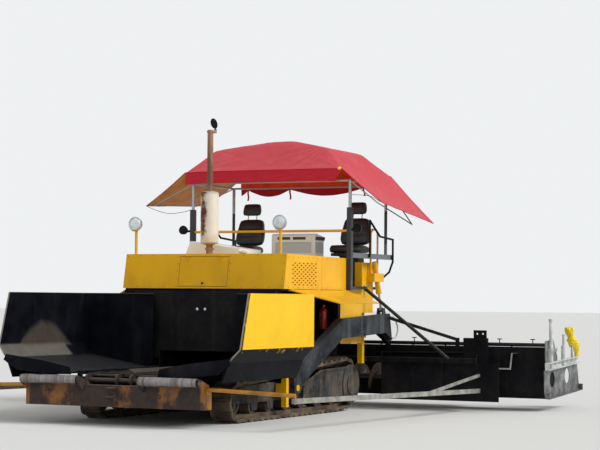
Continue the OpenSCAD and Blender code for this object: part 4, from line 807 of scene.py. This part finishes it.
def roof_rise(x, y, sharp=0.01):
    """Soft minimum of the planes, -s ln(sum of exp(-h / s)): on a ridge it lies s ln 2 under them."""
    heights = PLANES[:, 0] * x[..., None] + PLANES[:, 1] * y[..., None] + PLANES[:, 2]
    lowest = heights.min(-1)
    return lowest - sharp * np.log(np.exp((lowest[..., None] - heights) / sharp).sum(-1))


def fan(x, y, corner, seed, reach=0.55, count=16):
    """Creases that run out from a tied corner and die away: a wave round it, times the distance's fall."""
    away = np.hypot(x - corner[0], y - corner[1])
    bearing = np.arctan2(y - corner[1], x - corner[0])
    wave = np.sin(bearing * count + seed) + 0.6 * np.sin(bearing * (count * 1.7) + 2.1 * seed)
    return wave * np.clip(away / 0.2, 0, 1) * np.exp(-away / reach)


rows = 130
share = np.linspace(0, 1, rows)[:, None]
out_right, out_left = np.linspace(1, 0, 46)[None, :-1], np.linspace(0, 1, 46)[None, 1:]
over = np.linspace(Y_RIGHT, Y_LEFT, 150)[None, :]


def awning(out, eave, edge_front, edge_rear):
    """Awning points: out runs from 0 at the eave to 1 at the edge, whose y and z go from rear to front."""
    edge_y = edge_rear[0] + (edge_front[0] - edge_rear[0]) * share
    edge_z = edge_rear[1] + (edge_front[1] - edge_rear[1]) * share
    x = X_REAR + (X_FRONT - X_REAR) * share - 0.1 * out * (1 - share)
    belly = 0.035 * np.sin(math.pi * out) * (0.4 + 0.6 * np.sin(math.pi * share))
    y = eave + (edge_y - eave) * out
    wave = ripples(x, y, seed=int(10 * abs(eave)), longest=0.7, shortest=0.16)
    height = 0.004 + 0.005 * out * (1 - out)
    return np.stack([x, y, EAVE + (edge_z - EAVE) * out - belly + wave * height], -1)


x = X_REAR + (X_FRONT - X_REAR) * share + 0 * over
y = over + 0 * share
slack = np.clip(np.minimum(np.abs(x - BOWS[0]), np.abs(x - BOWS[1])) / 0.25, 0, 1)
inwards = np.minimum(np.minimum(x - X_REAR, X_FRONT - x), np.minimum(y - Y_RIGHT, Y_LEFT - y))
edge = np.clip(inwards / 0.12, 0, 1)
z = EAVE + roof_rise(x, y) - 0.014 * slack * edge
z += 0.007 * slack * edge * ripples(y, x, seed=5, count=18, longest=0.5)
for number, corner in enumerate(corners[:8]):
    z += 0.0045 * edge * (0.3 + 0.7 * slack) * fan(x, y, corner, number + 1.0)
roof = np.concatenate([
    awning(out_right, Y_RIGHT, (-1.98, 2.862), (-1.98, 2.952)),
    np.stack([x, y, z], -1),
    awning(out_left, Y_LEFT, (1.75, 2.852), (1.77, 2.642)),
], axis=1)
canopy = grid_piece("canopy_cloth", roof[:, ::-1], canopy_red, under=canopy_under, thick=CLOTH_THICK)
rim = np.concatenate([roof[0], roof[1:, -1], roof[-1, -2::-1], roof[-2::-1, 0]])
# The hem is a bead of the darker copy of the cloth: a painted line of shade along the roof's rim.
hem = grid_piece("canopy_hem", tube_points(rim, HEM_RADIUS, 8), cloth_red_painted_shade, closed=True)
on_body(hem, "canopy_cloth")
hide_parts("canopy_cover")
on_body(canopy, "canopy_cloth")
length = float(steps(roof[:, 120]).sum())

# %% [markdown]
# ## Valances, ribbons and cords
#
# A strip hangs from each end of the roof. The front one is nearly straight; the rear one is tied up with
# ribbons and hangs in shallow scallops between them. Both are wavier the lower they are. Thin cords hold the
# awnings' front corners to the posts.

# %% Valances
def valance(name, x_edge, out, depth, seed):
    """Hangs from the eave by depth(y), with waves that push it along x and grow downwards."""
    down = np.linspace(1, 0, 16)[:, None]
    along = np.linspace(Y_RIGHT, Y_LEFT, 220)[None, ::out]
    sway = ripples(along + 0 * down, 0 * along + down, seed, count=16, longest=0.5, shortest=0.1)
    points = np.stack([
        x_edge + out * (0.001 + 0.017 * down) + sway * 0.022 * down,
        along + 0 * down,
        EAVE - 0.002 - depth(along) * down,
    ], -1)
    # The valance wears the darker copy of the cloth: painted shade.
    piece = grid_piece(name, points, cloth_red_painted_shade, under=valance_under, thick=CLOTH_THICK)
    on_body(piece, "canopy_cloth")
    wide, deep = float(np.ptp(along)), float(depth(along).max())
    print(name, "hangs down", round(deep, 2), "m")
    return piece


def front_depth(y):
    """0.18 m, a little less in the middle, and cut away to nothing at the left corner."""
    middle = 1 - ((y - (Y_RIGHT + Y_LEFT) / 2) / 1.225) ** 2
    return (0.18 - 0.02 * middle) * np.clip((Y_LEFT - y) / 0.14 + 0.25, 0, 1)


TIES = (-1.2, -0.5, 0.7)
RIBBON_WIDTH = 0.028


def rear_depth(y):
    """Scallops between the ribbons' ties, 0.17 m at a tie and 0.27 m between two."""
    between = np.interp(y, [Y_RIGHT, *TIES, Y_LEFT], [-0.3, 0, 1, 2, 2.5])
    return 0.17 + 0.1 * np.abs(np.sin(math.pi * between))


valance("front_valance", X_FRONT, 1, front_depth, 21)
valance("rear_valance", X_REAR, -1, rear_depth, 22)


def ribbon(name, at, length, lean):
    """A narrow strip that hangs from a point and curls a little as it falls."""
    down = np.linspace(1, 0, 20)[:, None]
    wide = np.linspace(-RIBBON_WIDTH / 2, RIBBON_WIDTH / 2, 4)[None, :]
    points = np.stack([
        at[0] + lean[0] * down**2 + 0.01 * np.sin(down * 7) + 0 * wide,
        at[1] + lean[1] * down + wide,
        at[2] - length * down + 0 * wide,
    ], -1)
    piece = grid_piece(name, points, ribbon_red, thick=RIBBON_THICK)
    on_body(piece, "canopy_cloth")


for number, (tie, length) in enumerate(zip(TIES, (0.16, 0.15, 0.12))):
    at = (X_REAR - 0.012, tie, EAVE - 0.168)
    ribbon("ribbon_" + "abc"[number], at, length, (-0.02, 0.015 * (number - 1)))


def hung_cord(name, points, diameter, finish, body="tractor", slot="canopy_cloth"):
    """A cord or hose on a smooth curve between two places of the machine."""
    route = smooth_path(points, 28)
    piece = grid_piece(name, tube_points(route, diameter / 2, 10), finish, closed=True)
    on_body(piece, slot, body)


grey_cord = smooth_paint("grey cord", "#6E7276", amount=0.2, rough=0.6)
CORD, HOSE = 0.008, 0.024
GUY_RIGHT = [(-1.33, -1.262, 2.8), (-1.31, -1.42, 2.765), (-1.3, -1.62, 2.752), (-1.282, -1.82, 2.8),
             (-1.275, -1.965, 2.858)]
GUY_LEFT = [(-1.33, 1.262, 2.975), (-1.33, 1.4, 2.966), (-1.32, 1.55, 2.945), (-1.3, 1.7, 2.868)]
for name, route in (("guy_right", GUY_RIGHT), ("guy_left", GUY_LEFT)):
    hung_cord(name, [(x + MID, y, z) for x, y, z in route], CORD, grey_cord)
pale_hose = smooth_paint("pale hose", "#C8CCC8", "#8A8880", 0.2, 0.45)
HOSE_ROUTE = [(-1.985, 1.236, 1.3), (-2.07, 1.262, 1.28), (-2.16, 1.28, 1.14), (-2.13, 1.27, 1.01),
              (-2.052, 1.236, 0.985)]
hung_cord("tow_arm_hose", HOSE_ROUTE, HOSE, pale_hose, "screed", "arm_grey")
cap_at = [(X_FRONT - 0.005, Y_LEFT - 0.03, EAVE - 0.004)]
cap = domes("corner_cap", cap_at, (1, 0, 0), 0.024, 0.034, plastic_yellow, 20)
on_body(cap, "yellow_paint")

# %% [markdown]
# ## Padded seats
#
# Each seat has a cushion, a back and a head rest. A pad starts as an outline rounded by cutting its corners,
# swept across the seat and drawn together at both sides. Blender's cloth, under pressure and with gravity
# off, then swells the panels between the seams, which stay where they are.

# %% Seats
seat_vinyl = smooth_paint("seat vinyl", "#16161A", "#4A463F", 0.22, 0.5)
seat_piping = smooth_paint("seat piping", "#0C0C0E", amount=0.1, rough=0.4)


def rounded(outline, count):
    """Chaikin's corner cutting, three times over, then points at even steps along the closed line."""
    line = np.array(outline, float)
    for _ in range(3):
        ahead = np.roll(line, -1, 0)
        line = np.stack([line * 0.75 + ahead * 0.25, line * 0.25 + ahead * 0.75], 1).reshape(-1, 2)
    line = np.vstack([line, line[:1]])
    along = distances(line)
    at = np.linspace(0, along[-1], count + 1)[:-1]
    return np.c_[np.interp(at, along, line[:, 0]), np.interp(at, along, line[:, 1])]


def pad_points(outline, half_width, taper, stations=46, around=96):
    """Sweeps the outline across the seat; superellipse steps draw it together at both sides."""
    line = rounded(outline, around)
    middle = (line.min(0) + line.max(0)) / 2
    line = middle + (line - middle) * 0.955 - [0, np.ptp(line[:, 1]) * 0.0225]
    turn = np.linspace(0, math.pi, stations)
    share = -np.sign(np.cos(turn)) * np.abs(np.cos(turn)) ** 0.4
    flat = middle + (line - middle) * (np.abs(np.sin(turn)) ** 0.4)[:, None, None]
    height = (line[:, 1] - line[:, 1].min()) / np.ptp(line[:, 1])
    across = (half_width - 0.006) * share[:, None] * (1 - taper * height)
    return np.stack([flat[..., 0], across, flat[..., 1]], -1), share


SWELL_FRAMES, PRESSURE = 20, 5.0


def swell(piece, held, pressure, cap):
    """Runs the cloth for a few frames; held points stay, and no other moves further than the cap."""
    start = np.array([v.co for v in piece.data.vertices])
    group = piece.vertex_groups.new(name="seams")
    group.add(np.flatnonzero(held).tolist(), 1.0, "REPLACE")
    made = piece.modifiers.new("swelling", "CLOTH")
    made.settings.quality = 6
    made.settings.mass = 0.2
    made.settings.use_pressure = True
    made.settings.uniform_pressure_force = pressure
    made.settings.effector_weights.gravity = 0
    made.settings.vertex_group_mass = "seams"
    made.point_cache.frame_start, made.point_cache.frame_end = 1, SWELL_FRAMES
    for number in range(1, SWELL_FRAMES + 1):
        scene.frame_set(number)
    shaped = piece.evaluated_get(bpy.context.evaluated_depsgraph_get())
    moved = np.array([v.co for v in shaped.data.vertices]) - start
    far = np.linalg.norm(moved, axis=1)[:, None] + 1e-9
    piece.modifiers.remove(made)
    scene.frame_set(1)
    piece.data.vertices.foreach_set("co", (start + moved / far * cap * np.tanh(far / cap)).ravel())
    piece.data.update()


def pad(name, outline, half_width, taper, channels, at, cap=0.012):
    """One pad with piping along both side seams; channels are outline points that are sewn across it."""
    points, share = pad_points(outline, half_width, taper)
    seam_rows = [int(np.abs(share - side * 0.86).argmin()) for side in (-1, 1)]
    line = points[len(points) // 2][:, (0, 2)]
    sewn = [int(np.hypot(*(line - spot).T).argmin()) for spot in channels]
    held = np.zeros(points.shape[:2], bool)
    held[seam_rows] = True
    held[seam_rows[0] : seam_rows[1], sewn] = True
    held[points[..., 2] < points[..., 2].min() + 0.003] = True
    middle = np.array([*line.mean(0)])
    inwards = middle - line[sewn]
    inwards /= np.linalg.norm(inwards, axis=1)[:, None]
    points[seam_rows[0] + 1 : seam_rows[1], sewn, 0] += 0.006 * inwards[:, 0]
    points[seam_rows[0] + 1 : seam_rows[1], sewn, 2] += 0.006 * inwards[:, 1]
    piece = grid_piece(name, points + at, seat_vinyl, closed=True)
    swell(piece, held.ravel(), PRESSURE, cap)
    rings = []
    for row in seam_rows:
        ring = points[row] + at
        rings.append(tube_points(np.vstack([ring, ring[:2]]), 0.0045, 8))
    piping = grid_piece(name + "_piping", np.stack(rings), seat_piping, closed=True)
    piping.parent = piece
    on_body(piece, "seat_vinyl")
    print(name, "has", len(piece.data.vertices), "points")
    return piece


CUSHION = [(-0.1, 0.471), (-0.11, 0.54), (-0.06, 0.58), (0.29, 0.6), (0.37, 0.57),
           (0.39, 0.51), (0.36, 0.471)]
BACK = [(-0.1, 0.59), (-0.18, 0.94), (-0.17, 0.995), (-0.11, 1.005), (-0.07, 0.97),
        (0.02, 0.64), (-0.01, 0.59)]
HEAD_REST = [(-0.15, 1.04), (-0.185, 1.18), (-0.165, 1.22), (-0.115, 1.22), (-0.085, 1.18),
             (-0.075, 1.06), (-0.095, 1.035)]
# Height of the platform's deck, which the outlines above are measured from
DECK = 1.72
for side in ("left", "right"):
    low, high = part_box("seat_" + side)
    at = np.array([-2.3 + MID, (low[1] + high[1]) / 2, DECK])
    cushion = pad("cushion_" + side, CUSHION, 0.25, 0.0, [(0.06, 0.59), (0.2, 0.6)], at)
    pad("back_" + side, BACK, 0.235, 0.14, [(-0.01, 0.74), (-0.04, 0.85)], at)
    pad("head_rest_" + side, HEAD_REST, 0.15, 0.1, [], at, 0.008)
    rods = [tube_points([at + (-0.125, d, 0.97), at + (-0.14, d, 1.06)], 0.007, 10) for d in (-0.07, 0.07)]
    on_body(grid_piece("head_rods_" + side, np.stack(rods), lamp_steel, closed=True), "lamp_chrome")
    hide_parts("seat_" + side)

# %% [markdown]
# ## The wrapped sensor
#
# On the left end gate a sensor is bagged in thin yellow plastic against the dust. The bag follows a bent
# line, is full over the sensor's parts and tied in between, and puckers most where it is tied.

# %% Bag
bag_yellow = smooth_paint("bag yellow", "#F4D606", "#C8A010", 0.25, 0.35)
low, high = (np.array(corner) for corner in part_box("sensor_cover"))
spine = smooth_path(np.array([
    (0.4, 0, 0.445), (0.394, 0, 0.385), (0.345, 0, 0.32), (0.284, 0, 0.25), (0.2, 0, 0.205),
    (0.114, 0, 0.165), (0.055, 0, 0.085), (0.034, 0, 0.03)]) + [low[0], (low[1] + high[1]) / 2, low[2]], 120)
place = np.linspace(0, 1, 120)
girth = np.interp(place, [0, 0.03, 0.1, 0.2, 0.3, 0.42, 0.52, 0.6, 0.7, 0.78, 0.88, 0.97, 1],
                  [0.01, 0.06, 0.062, 0.056, 0.04, 0.062, 0.074, 0.05, 0.066, 0.05, 0.026, 0.034, 0.042])
bag_rings = tube_points(spine, girth, 140)[1:-1]
turn = circle(140)[None, :]
tied = np.interp(girth, [0.03, 0.078], [1.0, 0.35])[:, None]
pucker = sum((1.2 - 2 * np.abs(np.sin(turn * k / 2 + start + 2.5 * np.sin(place[:, None] * rate)))) / k**0.4
             for k, start, rate in ((4, 0.3, 9), (6, 1.1, 15), (10, 2.0, 12), (16, 0.7, 19)))
cross_folds = 0.9 - 1.8 * np.abs(np.sin(place[:, None] * 26 + 1.6 * np.sin(turn * 2 + 3) + np.sin(turn * 5)))
pucker = pucker * (0.5 + 0.5 * tied) + 0.8 * cross_folds * (1.2 - tied)
bag_rings = spine[:, None] + (bag_rings - spine[:, None]) * (1 + 0.14 * pucker)[..., None]
bag = grid_piece("sensor_bag", bag_rings, bag_yellow, closed=True, thick=BAG_THICK)
on_body(bag, "cover_yellow", "screed")
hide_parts("sensor_cover")
post_at = (low[0] + 0.264, (low[1] + high[1]) / 2)
stem = tube_points([(*post_at, low[2]), (*post_at, low[2] + 0.2)], 0.018, 16)
on_body(grid_piece("sensor_post", stem, gear_finish, closed=True), "gear_white", "screed")

# %% [markdown]
# ## Lenses, screws and bolts
#
# Small things that catch the light: fluted lamp glasses, round screw heads along the hood's seams, the
# hatch's lock and the bolts of the push beam.

# %% Small parts
# Flutes of a lamp glass, in radians for each metre
FLUTES = 520.0


def lamp_glass():
    """Clear glass over a bright bowl, with upright flutes in the bump."""
    f = Finish("lamp glass", rough=0.12, coat=0.8)
    flutes = (f.y * FLUTES).sine()
    # Painted reflection: the glass is opaque, and its pale grey stands for the bright chrome bowl seen
    # through clear glass.
    f.paint(f.mix(f.clouds(0.35, 0.7, 9, 4), "#EEF2F4", "#B4BCC2"))
    f.feed("Metallic", 0.25 + flutes * 0.1)
    f.bump(flutes * 0.5, 0.002, 0.5)
    return f


glass = lamp_glass()
screw_paint = smooth_paint("screw heads", "#B8881C", "#6A4E1A", 0.4, 0.45)
HOOD_X, HOOD_Z, LEAN = (0.611 + MID, 0.526 + MID), (1.665, 2.12), (0.983, 0, 0.184)


def on_front(y, z):
    """Point of the hood's leaning front face."""
    return (np.interp(z, HOOD_Z, HOOD_X), y, z)


front_screws = [on_front(y, z) for y in (-1.17, -0.39, 0.39, 1.17) for z in np.linspace(1.7, 2.09, 5)]
for ends in ((-0.98, -0.58), (0.58, 0.98)):
    front_screws += [on_front(y, z) for y in np.linspace(*ends, 3) for z in (1.69, 2.1)]
screw = (0.008, 0.004, screw_paint, "yellow_paint")
small = [("hood_screws", front_screws, LEAN, *screw)]
side_rows = [(x + MID, z) for z in (1.69, 2.075) for x in np.linspace(-1.25, 0.48, 13)]
for name, side in (("left", 1), ("right", -1)):
    small.append(("side_screws_" + name, [(x, side * 1.2, z) for x, z in side_rows], (0, side, 0), *screw))
lamp_spots = [(0.518 + MID, y, 2.52) for y in (-1.08, 1.08)]
wall_spots = [(0.716 + MID, y, 1.396) for y in (-0.006, 0.109)]
bolt_spots = [(2.765 + MID, y, 0.368) for y in (-0.64, 0.64)]
small += [
    ("hatch_lock", [on_front(0.0, 1.735)], LEAN, 0.016, 0.008, rail_paint, "rail_black", "hood_hatch"),
    ("lamp_glasses", lamp_spots, (1, 0, 0), 0.084, 0.016, glass, "lamp_chrome"),
    ("wall_glasses", wall_spots, (1, 0, 0), 0.015, 0.005, glass, "lamp_chrome"),
    ("beam_bolts", bolt_spots, (1, 0, 0), 0.027, 0.016, wheel_finish, "beam_paint"),
]
for name, spots, facing, radius, height, finish, *ride in small:
    on_body(domes(name, spots, facing, radius, height, finish, 28 if radius > 0.012 else 10), *ride)
print("small parts:", len(small))

# %% [markdown]
# ## The floor and the light
#
# A plain pale floor and an even sky show the machine as it is. One broad lamp from the machine's left keeps
# the front in soft shade and the flank bright, as in the photograph.

# %% Studio
floor_finish = Finish("floor", rough=0.9)
floor_finish.paint("#D8D8D5")
ring = circle(96)
reach = np.array([0.0, 20, 60, 150, 240])[:, None]
disc = np.stack([reach * np.cos(ring), -reach * np.sin(ring), 0 * reach * ring + cad_box[0][2] - 0.001], -1)
floor = grid_piece("floor", disc, floor_finish, closed=True, smooth=False)

world = bpy.data.worlds.new("studio")
scene.world = world
world.use_nodes = True
sky = world.node_tree
background = next(n for n in sky.nodes if n.type == "BACKGROUND")
background.inputs["Color"].default_value = tint("#F4F6F8")
path = sky.nodes.new("ShaderNodeLightPath")
strength = sky.nodes.new("ShaderNodeMapRange")
seen = path.outputs["Is Camera Ray"]
for ray in ("Is Glossy Ray", "Is Transmission Ray"):
    larger = sky.nodes.new("ShaderNodeMath")
    larger.operation = "MAXIMUM"
    sky.links.new(seen, larger.inputs[0])
    sky.links.new(path.outputs[ray], larger.inputs[1])
    seen = larger.outputs[0]
sky.links.new(seen, strength.inputs["Value"])
strength.inputs["To Min"].default_value = 0.5
strength.inputs["To Max"].default_value = 0.95
sky.links.new(strength.outputs[0], background.inputs["Strength"])


def sun(name, towards, power, spread):
    """A distant lamp whose light travels along the given direction."""
    light = bpy.data.lights.new(name, "SUN")
    light.energy = power
    light.angle = math.radians(spread)
    return aim(name, light, towards)


sun("key", (0.15, -0.85, -0.75), 2.3, 24)
sun("fill", (-0.8, -0.2, -0.5), 0.4, 60)
scene.view_settings.view_transform = "Standard"
print("suns:", len(bpy.data.lights))

# %% Finish
print("solid box", [round(v, 3) for v in (*cad_box[0], *cad_box[1])])
